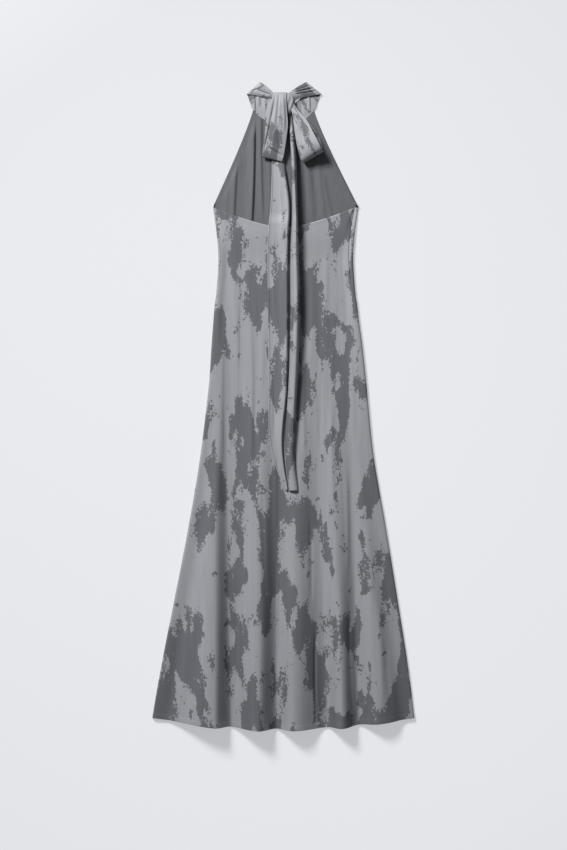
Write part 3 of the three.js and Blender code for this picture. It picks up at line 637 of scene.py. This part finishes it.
def front_face(sizes):
    """The front's outer face, flat on the surface and folded up and over at both sides, and its pattern."""
    seam = read_all(BAND_FRONT, "at", mix(SEAM_FROM, SEAM_TO, np.linspace(0, 1, ALONG["seam"])))
    seam_x = seam["low_x"]
    seam_y = seam["low_y"]
    down_upper = steps(0, (0.95, 55), (1, 9))[:-1]
    lower_y = steps(UNDERARM_Y, (330, 27), (HEM_Y, 34))
    y = np.concatenate([mix(seam_y[0], UNDERARM_Y, down_upper), lower_y])
    down = np.concatenate([down_upper, np.ones(len(lower_y))])
    at = section(np.minimum(y, UNDERARM_Y))
    hollow = np.sin(math.pi * down ** HOLLOW_HIGH)
    left = np.where(down < 1, mix(seam_x[0], at["left"], down) + HOLLOW_LEFT * hollow, at["left"])
    right = np.where(down < 1, mix(seam_x[-1], at["right"], down) - HOLLOW_RIGHT * hollow, at["right"])
    wrap_right = np.where(down < 1, mix(SEAM_EDGE, at["wrap"], down), at["wrap"])
    turn = np.maximum(math.pi * ease((UNDERARM_Y + ARMHOLE_CURL - y) / ARMHOLE_CURL), LEAST_TURN)
    bow = math.pi * at["radius"] / turn

    def reach(wrap):
        return np.where(turn < math.pi / 2, bow * np.sin(turn) + wrap * np.cos(turn), bow)

    def fold(start, out, wrap):
        angle = turn[:, None] * np.linspace(0, 1, AROUND_FOLD + 1)[1:]
        x = start[:, None] + out * bow[:, None] * np.sin(angle)
        z = bow[:, None] * (1 - np.cos(angle))
        end_x = x[:, -1:] + out * (wrap * np.cos(turn))[:, None]
        end_z = z[:, -1:] + (wrap * np.sin(turn))[:, None]
        return np.concatenate([x, end_x], 1), np.concatenate([z, end_z], 1)

    floor_left = left + reach(np.ones_like(turn))
    floor_right = right - reach(wrap_right)
    left_x, left_z = fold(floor_left, -1, np.ones_like(turn))
    right_x, right_z = fold(floor_right, 1, wrap_right)
    flat_x = mix(floor_left[:, None], floor_right[:, None], np.linspace(0, 1, ACROSS["front"]))
    flat_y = np.broadcast_to(y[:, None], flat_x.shape)
    fade = ease((flat_y - FRONT_FADE_FROM) / FRONT_FADE_OVER)
    inside = between(flat_x, floor_left[:, None], floor_right[:, None], FRONT_FADE_SIDE)
    folds = creases(FRONT_FOLDS, flat_x, flat_y)
    ripple = RIPPLE["high"] * (1 + np.sin(flat_x / RIPPLE["across"] + flat_y / RIPPLE["along"]))
    ripple = ripple * (0.5 + 0.5 * np.sin(flat_y / RIPPLE["beat"] + 1))
    flat_z = np.maximum(folds * sizes.crease_depth + ripple, 0) * fade * inside
    x = np.concatenate([left_x[:, ::-1], flat_x, right_x], 1)
    z = np.concatenate([left_z[:, ::-1], flat_z, right_z], 1)
    rows_y = np.broadcast_to(y[:, None], x.shape).copy()
    upper = down < 1
    across = (x - left[:, None]) / (right - left)[:, None]
    on_seam = mix(seam_x[0], seam_x[-1], across)
    seam_edge = np.interp(on_seam, seam_x, seam_y) - SEAM_GAP
    fallen = (seam_y[0] - rows_y) / (seam_y[0] - UNDERARM_Y)
    rows_y[upper] = mix(seam_edge, UNDERARM_Y, fallen)[upper]
    face = np.stack([x, rows_y, z], 2)
    return face, front_pattern(face, left[:, None], right[:, None], at["radius"][:, None])


def front_pattern(face, left, right, radius):
    """The front's places in the cloth, between its side edges and round its side folds."""
    x, y, z = np.moveaxis(face, 2, 0)
    depth = np.minimum(x - left, right - x)
    under = UNDER_CLOTH * ease(depth / UNDER_OVER) * (z < radius)
    outward = np.where(x < (left + right) / 2, -1, 1) * np.maximum(radius * 2 - z, 0)
    return np.stack([(x + ROUND_SHARE * outward) * MM, y * MM, under], 2)


def side_lap(at, y, out):
    """The back's edge round a side fold: it stays at the seam on the bodice, and runs on below it.

    The last result is how far each of its columns has run on from the seam.
    """
    lap = np.maximum(ease((LAP_FROM - y) / LAP_OVER), LAP_LEAST)
    flat = (SEAM_EDGE if out < 0 else at["wrap"]) + SEAM_GAP
    middle = at["left"] + at["radius"] if out < 0 else at["right"] - at["radius"]
    bend = at["radius"] + SEAM_GAP - (at["cloth"] + SEAM_GAP) * (1 - lap)
    walk = (flat + LAP_TURN * bend) * lap * np.linspace(0, 1, AROUND_FOLD + 1)[1:]
    angle = np.maximum(walk - flat, 0) / bend
    x = middle - out * np.maximum(flat - walk, 0) + out * bend * np.sin(angle)
    return x, at["radius"] + bend * np.cos(angle), walk


def hem_step(distance, width):
    """How a turned edge shows: a little thicker to its stitching, which dimples the cloth."""
    raised = TURNED["high"] * ease((width - distance) / TURNED["fade"])
    from_stitch = (distance - width + TURNED["stitch"]) / TURNED["wide"]
    return raised - TURNED["dimple"] * np.exp(-(from_stitch ** 2))


def back_face(sizes):
    """The back's inner face between the side seams, its pattern and the thickness of its edges."""
    # The rows are close together at the two turned edges.
    down = steps(0, (0.015, 6), (0.979, 118), (1, 22))[:, None]
    across = evenly(ACROSS["back"]).T
    top = BACK_EDGE_Y + BACK_EDGE_RISE * np.abs(2 * across - 1) ** BACK_EDGE_BEND
    hem = HEM_Y - HEM_DROP * np.sin(math.pi * across)
    y = mix(top, hem, down)
    at = section(y)
    x = mix(at["seam_left"], at["seam_right"], across)
    cloth = sizes.cloth / MM
    z = back_under(x, y, cloth)
    lap = AROUND_FOLD
    sides = []
    for out, column in ((-1, 0), (1, -1)):
        side_y = y[:, [column]]
        side = section(side_y)
        side["cloth"] = cloth
        sides.append(side_lap(side, side_y, out))
    (left_x, left_z, left_walk), (right_x, right_z, right_walk) = sides
    x = np.concatenate([left_x[:, ::-1], x, right_x], 1)
    z = np.concatenate([left_z[:, ::-1], z, right_z], 1)
    y = np.concatenate([np.repeat(y[:, :1], lap, 1), y, np.repeat(y[:, -1:], lap, 1)], 1)
    face = np.stack([x, y, z], 2)
    printed = x.copy()
    printed[:, :lap] = x[:, [lap]] - left_walk[:, ::-1]
    printed[:, -lap:] = x[:, [-lap - 1]] + right_walk
    pattern = np.stack([printed * MM, y * MM, np.zeros_like(x)], 2)
    turned = sizes.turned / MM
    edges = hem_step(y - y[-1], turned) + hem_step(y[0] - y, TOP_TURNED * turned)
    return face, pattern, edges


def band_front_face():
    """The front half of the band, flat on the surface under its gathers, and its pattern."""
    at = evenly(ALONG["band_front"])
    up = evenly(ACROSS["band_front"]).T
    edge = read_all(BAND_FRONT, "at", at)
    x = mix(edge["low_x"], edge["high_x"], up)
    y = mix(edge["low_y"], edge["high_y"], up)
    gathers = BAND_GATHERS["high"] * np.sin(x / BAND_GATHERS["across"] + y / BAND_GATHERS["along"])
    z = BAND_PUFF + creases(BAND_FRONT_FOLDS, x, y) + gathers
    ends = between(at, 0, 1, BAND_GATHERS["ends"])
    face = np.stack([x, y, np.clip(z, 0, BAND_GATHERS["most"]) * ends], 2)
    pattern_x = at * BAND_FRONT_CLOTH + 0 * up + CUT_AT["band_front"]
    pattern = np.stack([pattern_x, up * BAND_CLOTH_WIDE + 0 * at, 0 * x], 2)
    return face, pattern


def band_back_face(rows, wrinkles, offset):
    """The middle of one back half of the band, and its pattern."""
    at = evenly(ALONG["band_back"])
    up = evenly(ACROSS["band_back"]).T
    edge = read_all(rows, "at", at)
    x = mix(edge["low_x"], edge["high_x"], up)
    y = mix(edge["low_y"], edge["high_y"], up)
    z = mix(edge["low_z"], edge["high_z"], up) + PLEAT_RISE * edge["pleat"] * np.sin(math.pi * up)
    z = z + creases(wrinkles, x, y) * ease((at - BAND_CREASES_FROM) / BAND_CREASES_OVER)
    face = np.stack([x, y, z], 2)
    pattern = np.stack([at * BAND_BACK_CLOTH + 0 * up + offset, up * BAND_CLOTH_WIDE + 0 * at, 0 * x], 2)
    return face, pattern


def loop_face(rows, wrinkles, under_wrinkles, offset):
    """The middle of a loop's cloth, from the knot down and back under to it, and its pattern."""
    at = evenly(ALONG["loop"])
    across = evenly(ACROSS["loop"]).T
    edge = read_all(rows, "at", at)
    x = mix(edge["left_x"], edge["right_x"], across)
    y = mix(edge["left_y"], edge["right_y"], across)
    z = mix(edge["left_z"], edge["right_z"], across) + edge["crown"] * np.sin(math.pi * across)
    z = z + creases(wrinkles, x, y) * between(at, **LOOP_UPPER)
    z = z + creases(under_wrinkles, x, y) * between(at, **LOOP_LOWER)
    face = np.stack([x, y, z], 2)
    pattern_x = across * BAND_CLOTH_WIDE + 0 * at + offset
    pattern = np.stack([pattern_x, -at * LOOP_CLOTH + 0 * across, 0 * x], 2)
    return face, pattern


def tie_face(rows, near_edge, wrinkles, cloth, offset, band):
    """A tie's outer face: it rises from its left edge to a crest and falls to its right one."""
    y = np.linspace(rows["y"][-1], rows["y"][0], ALONG["tie"])[:, None]
    across = evenly(ACROSS["tie"]).T
    share = (1 - np.cos(math.pi * across)) / 2
    edge = read_all(rows, "y", y)
    x = mix(edge["left"], edge["right"], share)
    leaning = share ** (math.log(0.5) / np.log(edge["crest"]))
    arch = 2 * np.sqrt(leaning * (1 - leaning))
    y = y + 0 * x
    foot = tie_rest(x, y, cloth) + band * mix(near_edge, TIE_FAR_EDGE, share)
    inner = np.sin(math.pi * across) ** 0.5
    rolled = ROLL["high"] * np.exp(-(((x - edge["left"] - ROLL["in"]) / ROLL["wide"]) ** 2))
    z = foot + edge["height"] * arch + creases(wrinkles, x, y) * inner + rolled
    face = np.stack([x, y, z], 2)
    pattern = np.stack([x * MM + offset, y * MM, z * 0], 2)
    return face, pattern


def knot_face():
    """The knot's rounded outer face, with the soft lines of its wraps."""
    turn = np.linspace(0, 2 * math.pi, ACROSS["knot"])[None, :]
    tilt = np.linspace(WRAPS["end"], math.pi - WRAPS["end"], ALONG["knot"])[:, None]
    wave = np.cos(WRAPS["number"] * turn + WRAPS["twist"] * np.sin(2 * tilt))
    wrinkle = 1 + WRAPS["deep"] * wave * np.sin(tilt)
    x = KNOT["x"] + KNOT["rx"] * np.sin(tilt) * np.cos(turn) * wrinkle
    z = KNOT["z"] + KNOT["rz"] * np.sin(tilt) * np.sin(turn) * wrinkle
    y = KNOT["y"] + KNOT["ry"] * np.cos(tilt) + 0 * x
    return np.stack([x, y, z], 2)


def linear(colour):
    """An sRGB hex colour such as 0xA0A1A5 as linear red, green, blue and alpha."""
    channels = [(colour >> shift & 255) / 255 for shift in (16, 8, 0)]
    return [c / 12.92 if c <= 0.04045 else ((c + 0.055) / 1.055) ** 2.4 for c in channels] + [1]


def new_material(name):
    """A new material with an empty node tree."""
    material = bpy.data.materials.new(name)
    material.use_nodes = True
    material.node_tree.nodes.clear()
    return material


def add(tree, kind, links=None, **settings):
    """Adds a node with its settings and links.

    links maps an input to a value, to another node's output, or to a node for its first output.
    """
    node = tree.nodes.new(kind)
    for key, value in settings.items():
        setattr(node, key, value)
    for key, value in (links or {}).items():
        if isinstance(value, bpy.types.Node):
            value = value.outputs[0]
        if isinstance(value, bpy.types.NodeSocket):
            tree.links.new(value, node.inputs[key])
        else:
            node.inputs[key].default_value = value
    return node


# The cloth's noises: the size of one swell across the warp and along it, in millimetres, and how
# ragged it is. The real satin has a thread about every 0.12 mm, too fine to show from above, so its
# weave, in the rows warp and weft, is drawn about nine times as coarse.
GRAINS = {
    "patch": {"across": 58.82, "along": 163.4, "Detail": 2, "Roughness": 0.5, "Distortion": 0.2},
    "lobe": {"across": 19.23, "along": 53.42, "Detail": 2, "Roughness": 0.6},
    "tear": {"across": 58.82, "along": 58.82, "Detail": 1, "Roughness": 0.5},
    "tooth": {"across": 4.545, "along": 6.06, "Detail": 3, "Roughness": 0.65},
    "spot": {"across": 23.81, "along": 34.01, "Detail": 1, "Roughness": 0.5},
    "slub": {"across": 6.67, "along": 133.3, "Detail": 2, "Roughness": 0.5},
    "wrong_slub": {"across": 5.88, "along": 117.6, "Detail": 3, "Roughness": 0.6},
    "warp": {"across": 1.11, "along": 15.6, "Detail": 2, "Roughness": 0.6},
    "weft": {"across": 10, "along": 1.11, "Detail": 1, "Roughness": 0.5},
}
# The patches begin where the field of their noises passes this value, with almost no blur.
PATCH_FROM = 0.468
PATCH_FULL = 0.474
# A few small spots of the ground show inside the patches, where another noise passes this value.
SPOT_FROM = 0.72
SPOT_FULL = 0.725
# The relief: a thread's height in millimetres, how strongly it shows, and the weft's and the
# patches' heights beside the warp's.
THREAD_HIGH = 0.15
RELIEF_STRENGTH = 0.15
WEFT_SHARE = 0.5
PATCH_HIGH = 1.5


def cloth_noises(tree, names):
    """The noises of these grains, in the cloth's own place, and the height of the weave."""
    cloth = add(tree, "ShaderNodeAttribute", attribute_name="cloth").outputs["Vector"]
    noises = {}
    for name in (*names, "warp", "weft"):
        grain = dict(GRAINS[name])
        across = 1 / (grain.pop("across") * MM)
        along = 1 / (grain.pop("along") * MM)
        place = add(tree, "ShaderNodeMapping", {"Vector": cloth, "Scale": (across, along, across)})
        noises[name] = add(tree, "ShaderNodeTexNoise", {"Vector": place, "Scale": 1, **grain})
    threads = {0: noises["weft"], 1: WEFT_SHARE, 2: noises["warp"]}
    return noises, add(tree, "ShaderNodeMath", threads, operation="MULTIPLY_ADD")


def satin_jacquard(colours):
    """Satin jacquard: ragged satin patches, taller than wide, on a darker matt ground.

    In the patches long smooth threads lie on top, which give the light back softly, so the eye
    sees them light and a little silky. The ground is bound tightly, so it looks dark and dull.
    """
    material = new_material("satin jacquard")
    tree = material.node_tree
    noises, weave = cloth_noises(tree, ("patch", "lobe", "tear", "tooth", "spot", "slub"))
    ranged = {}
    # What each noise gives at its usual lowest and highest values.
    for name, low, high, to_low, to_high in (
        ("lobe", 0.3, 0.7, -0.05, 0.05),
        ("tear", 0.38, 0.6, 0.45, 1),
        ("tooth", 0.25, 0.75, -0.065, 0.065),
        ("slub", 0.3, 0.7, 0, 1),
    ):
        links = {"Value": noises[name], "From Min": low, "From Max": high}
        links.update({"To Min": to_low, "To Max": to_high})
        ranged[name] = add(tree, "ShaderNodeMapRange", links, interpolation_type="SMOOTHSTEP")
    lobed = add(tree, "ShaderNodeMath", {0: noises["patch"], 1: ranged["lobe"]}, operation="ADD")
    links = {0: ranged["tooth"], 1: ranged["tear"], 2: lobed}
    field = add(tree, "ShaderNodeMath", links, operation="MULTIPLY_ADD")
    links = {"Value": field, "From Min": PATCH_FROM, "From Max": PATCH_FULL}
    satin = add(tree, "ShaderNodeMapRange", links, interpolation_type="SMOOTHSTEP")
    spots = add(tree, "ShaderNodeMath", {0: noises["spot"], 1: ranged["tooth"]}, operation="ADD")
    links = {"Value": spots, "From Min": SPOT_FROM, "From Max": SPOT_FULL, "To Min": 1, "To Max": 0}
    unspotted = add(tree, "ShaderNodeMapRange", links, interpolation_type="SMOOTHSTEP")
    patch = add(tree, "ShaderNodeMath", {0: satin, 1: unspotted}, operation="MULTIPLY")
    # Inputs 0, 6 and 7 of a colour mix are its share and its two colours, and output 2 is the colour.
    links = {0: ranged["slub"], 6: colours.light, 7: colours.light_slub}
    light = add(tree, "ShaderNodeMix", links, data_type="RGBA").outputs[2]
    links = {0: ranged["slub"], 6: colours.ground, 7: colours.ground_slub}
    ground = add(tree, "ShaderNodeMix", links, data_type="RGBA").outputs[2]
    colour = add(tree, "ShaderNodeMix", {0: patch, 6: ground, 7: light}, data_type="RGBA").outputs[2]
    roughness = add(tree, "ShaderNodeMapRange", {"Value": patch, "To Min": 0.75, "To Max": 0.55})
    relief = add(tree, "ShaderNodeMath", {0: patch, 1: PATCH_HIGH, 2: weave}, operation="MULTIPLY_ADD")
    links = {"Height": relief, "Strength": RELIEF_STRENGTH, "Distance": THREAD_HIGH * MM}
    bump = add(tree, "ShaderNodeBump", links)
    surface = {"Base Color": colour, "Roughness": roughness, "Normal": bump, "Specular IOR Level": 0.25}
    shader = add(tree, "ShaderNodeBsdfPrincipled", surface)
    add(tree, "ShaderNodeOutputMaterial", {"Surface": shader})
    return material


def wrong_side(colours):
    """The jacquard's wrong side, where only the binding of the threads shows.

    It has no smooth threads on top, so the eye sees one dull, darker tone with faint streaks
    along the warp.
    """
    material = new_material("satin jacquard wrong side")
    tree = material.node_tree
    noises, weave = cloth_noises(tree, ("wrong_slub",))
    links = {"Value": noises["wrong_slub"], "From Min": 0.3, "From Max": 0.7}
    slub = add(tree, "ShaderNodeMapRange", links, interpolation_type="SMOOTHSTEP")
    links = {0: slub, 6: colours.wrong, 7: colours.wrong_slub}
    colour = add(tree, "ShaderNodeMix", links, data_type="RGBA").outputs[2]
    links = {"Height": weave, "Strength": RELIEF_STRENGTH, "Distance": THREAD_HIGH * MM}
    bump = add(tree, "ShaderNodeBump", links)
    surface = {"Base Color": colour, "Roughness": 0.8, "Normal": bump, "Specular IOR Level": 0.2}
    shader = add(tree, "ShaderNodeBsdfPrincipled", surface)
    add(tree, "ShaderNodeOutputMaterial", {"Surface": shader})
    return material


def cloths():
    """The two materials of the dress, made once."""
    names = ("satin jacquard", "satin jacquard wrong side")
    made = [bpy.data.materials.get(name) for name in names]
    if None in made:
        colours = bpy.context.scene.cloth_colours
        made = [satin_jacquard(colours), wrong_side(colours)]
    return made


def colour_property(name, description, default):
    return bpy.props.FloatVectorProperty(
        name=name, description=description, default=linear(default), size=4, min=0, max=1, subtype="COLOR"
    )


def number_property(name, description, default, **settings):
    return bpy.props.FloatProperty(name=name, description=description, default=default, **settings)


class ClothColours(bpy.types.PropertyGroup):
    """Colours of the cloth, each as the thread lies flat and where a slub thickens it."""

    light: colour_property("Patches", "Colour of the satin patches", 0x94959A)
    light_slub: colour_property("Patch slubs", "Colour of the slubs in the patches", 0x98999E)
    ground: colour_property("Ground", "Colour of the ground between the patches", 0x616368)
    ground_slub: colour_property("Ground slubs", "Colour of the slubs in the ground", 0x65676C)
    wrong: colour_property("Wrong side", "Colour of the cloth's wrong side", 0x5E6064)
    wrong_slub: colour_property("Wrong side slubs", "Colour of the slubs on the wrong side", 0x636569)


class DressSizes(bpy.types.PropertyGroup):
    """Sizes of the cloth that a user would change."""

    cloth: number_property("Cloth", "Thickness of the dress's cloth", 0.0012, unit="LENGTH")
    band: number_property("Band", "Thickness of the doubled band and its ties", 0.0016, unit="LENGTH")
    turned: number_property("Turned edge", "Width of the turned hem", 0.014, unit="LENGTH")
    crease_depth: number_property("Creases", "How deep the creases are", 1.0, subtype="FACTOR")


class StageSettings(bpy.types.PropertyGroup):
    """Light and camera of the studio."""

    camera_height: number_property(
        "Camera height", "Height of the camera above the surface", 3.8, unit="LENGTH"
    )
    key: number_property("Key light", "Power of the light from the upper left", 207.0, unit="POWER")
    fill: number_property("Fill light", "Strength of the light from all round", 0.16)
    # The paper's two colours are painted tone: darker at the neck, nearer the lamp, and lighter at the hem,
    # to cancel the lamp's fall of light.
    paper_far: colour_property("Paper at the neck", "Colour of the paper at the dress's neck", 0x88898C)
    paper_near: colour_property("Paper at the hem", "Colour of the paper at the dress's hem", 0xC8C9CC)
    # The paper's glow is painted light, which lightens the shadows on the paper.
    paper_glow: colour_property("Paper glow", "Even light that the lit paper gives back", 0xE7E9ED)


class HALTER_OT_front(bpy.types.Operator):
    """Lays out the dress's front, which shows its wrong side above the back"""

    bl_idname = "halter.front"
    bl_label = "Front"

    def execute(self, context):
        sizes = context.scene.dress_sizes
        face, pattern = front_face(sizes)
        jacquard, plain = cloths()
        cloth = sizes.cloth / MM
        piece = new_piece("front", face, 0, cloth, pattern, [plain, jacquard], "front_panel")
        return {"FINISHED"}


class HALTER_OT_back(bpy.types.Operator):
    """Lays the dress's back on its front, with its flutes and creases"""

    bl_idname = "halter.back"
    bl_label = "Back"

    def execute(self, context):
        sizes = context.scene.dress_sizes
        face, pattern, edges = back_face(sizes)
        jacquard, plain = cloths()
        over = sizes.cloth / MM + edges
        piece = new_piece("back", face, 0, over, pattern, [jacquard, plain], "back_panel")
        return {"FINISHED"}


class HALTER_OT_band(bpy.types.Operator):
    """Folds the neck band round, from its front half to the knot on both sides"""

    bl_idname = "halter.band"
    bl_label = "Neck band"

    def execute(self, context):
        half = context.scene.dress_sizes.band / MM / 2
        both = [cloths()[0]] * 2
        face, pattern = band_front_face()
        front = new_piece("band_front", face, 0, 2 * half, pattern, both, "neck_band_front")
        for name, rows, wrinkles in (
            ("band_left", BAND_LEFT, BAND_LEFT_FOLDS),
            ("band_right", BAND_RIGHT, BAND_RIGHT_FOLDS),
        ):
            face, pattern = band_back_face(rows, wrinkles, CUT_AT[name])
            piece = new_piece(name, face, -half, half, pattern, both, "neck_" + name)
        return {"FINISHED"}


class HALTER_OT_bow(bpy.types.Operator):
    """Ties the bow: its knot and its two hanging loops"""

    bl_idname = "halter.bow"
    bl_label = "Bow"

    def execute(self, context):
        half = context.scene.dress_sizes.band / MM / 2
        both = [cloths()[0]] * 2
        knot = knot_face()
        pattern = knot * MM + [CUT_AT["knot"], 0, 0]
        new_piece("knot", knot, -KNOT["wall"], 0, pattern, both, "bow_knot")
        for name, rows, wrinkles, under_wrinkles in (
            ("loop_left", LOOP_LEFT, LOOP_LEFT_FOLDS, LOOP_LEFT_UNDER_FOLDS),
            ("loop_right", LOOP_RIGHT, LOOP_RIGHT_FOLDS, LOOP_RIGHT_UNDER_FOLDS),
        ):
            face, pattern = loop_face(rows, wrinkles, under_wrinkles, CUT_AT[name])
            piece = new_piece(name, face, -half, half, pattern, both, "bow_" + name)
        return {"FINISHED"}


class HALTER_OT_ties(bpy.types.Operator):
    """Lays the two long ties down the back"""

    bl_idname = "halter.ties"
    bl_label = "Ties"

    def execute(self, context):
        sizes = context.scene.dress_sizes
        cloth = sizes.cloth / MM
        band = sizes.band / MM
        both = [cloths()[0]] * 2
        for side, rows, near_edge, wrinkles, width in (
            ("left", TIE_LEFT, 1.0, TIE_LEFT_FOLDS, 0.052),
            ("right", TIE_RIGHT, 0.2, TIE_RIGHT_FOLDS, 0.05),
        ):
            node = "tie_" + side
            face, pattern = tie_face(rows, near_edge, wrinkles, cloth, CUT_AT[node], band)
            piece = new_piece(side + "_tie", face, -band, 0, pattern, both, node)
        return {"FINISHED"}


class HALTER_OT_stage(bpy.types.Operator):
    """Sets up the plain pale surface, the soft studio light and the camera straight above"""

    bl_idname = "halter.stage"
    bl_label = "Stage"

    def execute(self, context):
        stage = context.scene.stage_settings
        self.floor(stage)
        self.lights(stage)
        self.camera(stage)
        return {"FINISHED"}

    def floor(self, stage):
        mesh = bpy.data.meshes.new("floor")
        corners = [(-1, -1), (1, -1), (1, 1), (-1, 1)]
        points = [(x * FLOOR_HALF, y * FLOOR_HALF, FLOOR_Z) for x, y in corners]
        mesh.from_pydata(points, [], [(0, 1, 2, 3)])
        # Matt paper without gloss. Its colour is painted darker towards the lamp, to cancel the lamp's fall
        # of light, and it glows evenly, a painted light that lightens the shadows on it, so the eye sees
        # one even pale tone.
        paper = new_material("pale backdrop paper")
        tree = paper.node_tree
        place = add(tree, "ShaderNodeNewGeometry").outputs["Position"]
        parts = add(tree, "ShaderNodeSeparateXYZ", {0: place}).outputs
        links = {0: parts["X"], 1: PAPER_SLANT, 2: parts["Y"]}
        towards_lamp = add(tree, "ShaderNodeMath", links, operation="MULTIPLY_ADD")
        links = {"Value": towards_lamp, "From Min": PAPER_NEAR, "From Max": PAPER_FAR}
        links.update({"To Min": 1, "To Max": 0})
        level = add(tree, "ShaderNodeMapRange", links)
        links = {0: level, 6: stage.paper_far, 7: stage.paper_near}
        colour = add(tree, "ShaderNodeMix", links, data_type="RGBA").outputs[2]
        surface = {"Base Color": colour, "Roughness": 0.95, "Specular IOR Level": 0}
        surface.update({"Emission Color": stage.paper_glow, "Emission Strength": PAPER_GLOW})
        shader = add(tree, "ShaderNodeBsdfPrincipled", surface)
        add(tree, "ShaderNodeOutputMaterial", {"Surface": shader})
        mesh.materials.append(paper)
        floor = bpy.data.objects.new("floor", mesh)
        bpy.context.scene.collection.objects.link(floor)

    def lights(self, stage):
        key = bpy.data.lights.new("key", "AREA")
        key.energy = stage.key
        key.size = LAMP_SIZE
        lamp = bpy.data.objects.new("key", key)
        lamp.location = LAMP_PLACE
        direction = Vector(LAMP_AIM) - lamp.location
        lamp.rotation_euler = direction.to_track_quat("-Z", "Y").to_euler()
        bpy.context.scene.collection.objects.link(lamp)
        world = bpy.data.worlds.new("studio")
        world.use_nodes = True
        background = world.node_tree.nodes["Background"]
        background.inputs[0].default_value = FILL_COLOUR
        background.inputs[1].default_value = stage.fill
        bpy.context.scene.world = world
        bpy.context.scene.view_settings.view_transform = "Standard"

    def camera(self, stage):
        data = bpy.data.cameras.new("above")
        data.sensor_fit = "VERTICAL"
        data.sensor_height = SENSOR_TALL
        data.lens = SENSOR_TALL * stage.camera_height / VIEW_TALL
        camera = bpy.data.objects.new("above", data)
        camera.location = (0, VIEW_Y, stage.camera_height)
        bpy.context.scene.collection.objects.link(camera)
        bpy.context.scene.camera = camera


STEPS = (HALTER_OT_front, HALTER_OT_back, HALTER_OT_band, HALTER_OT_bow, HALTER_OT_ties, HALTER_OT_stage)


class HALTER_PT_panel(bpy.types.Panel):
    """Lists the dress's pieces in the sidebar"""

    bl_label = "Halter Dress"
    bl_space_type = "VIEW_3D"
    bl_region_type = "UI"
    bl_category = "Dress"

    def draw(self, context):
        scene = context.scene
        for settings in (scene.dress_sizes, scene.cloth_colours, scene.stage_settings):
            for name in settings.__annotations__:
                self.layout.prop(settings, name)
        for step in STEPS:
            self.layout.operator(step.bl_idname)


CLASSES = (DressSizes, ClothColours, StageSettings) + STEPS + (HALTER_PT_panel,)


def register():
    for cls in CLASSES:
        bpy.utils.register_class(cls)
    bpy.types.Scene.dress_sizes = bpy.props.PointerProperty(type=DressSizes)
    bpy.types.Scene.cloth_colours = bpy.props.PointerProperty(type=ClothColours)
    bpy.types.Scene.stage_settings = bpy.props.PointerProperty(type=StageSettings)


def unregister():
    del bpy.types.Scene.stage_settings
    del bpy.types.Scene.cloth_colours
    del bpy.types.Scene.dress_sizes
    for cls in reversed(CLASSES):
        bpy.utils.unregister_class(cls)


def main():
    register()
    bpy.ops.halter.front()
    bpy.ops.halter.back()
    bpy.ops.halter.band()
    bpy.ops.halter.bow()
    bpy.ops.halter.ties()
    bpy.ops.halter.stage()


if __name__ == "__main__":
    main()
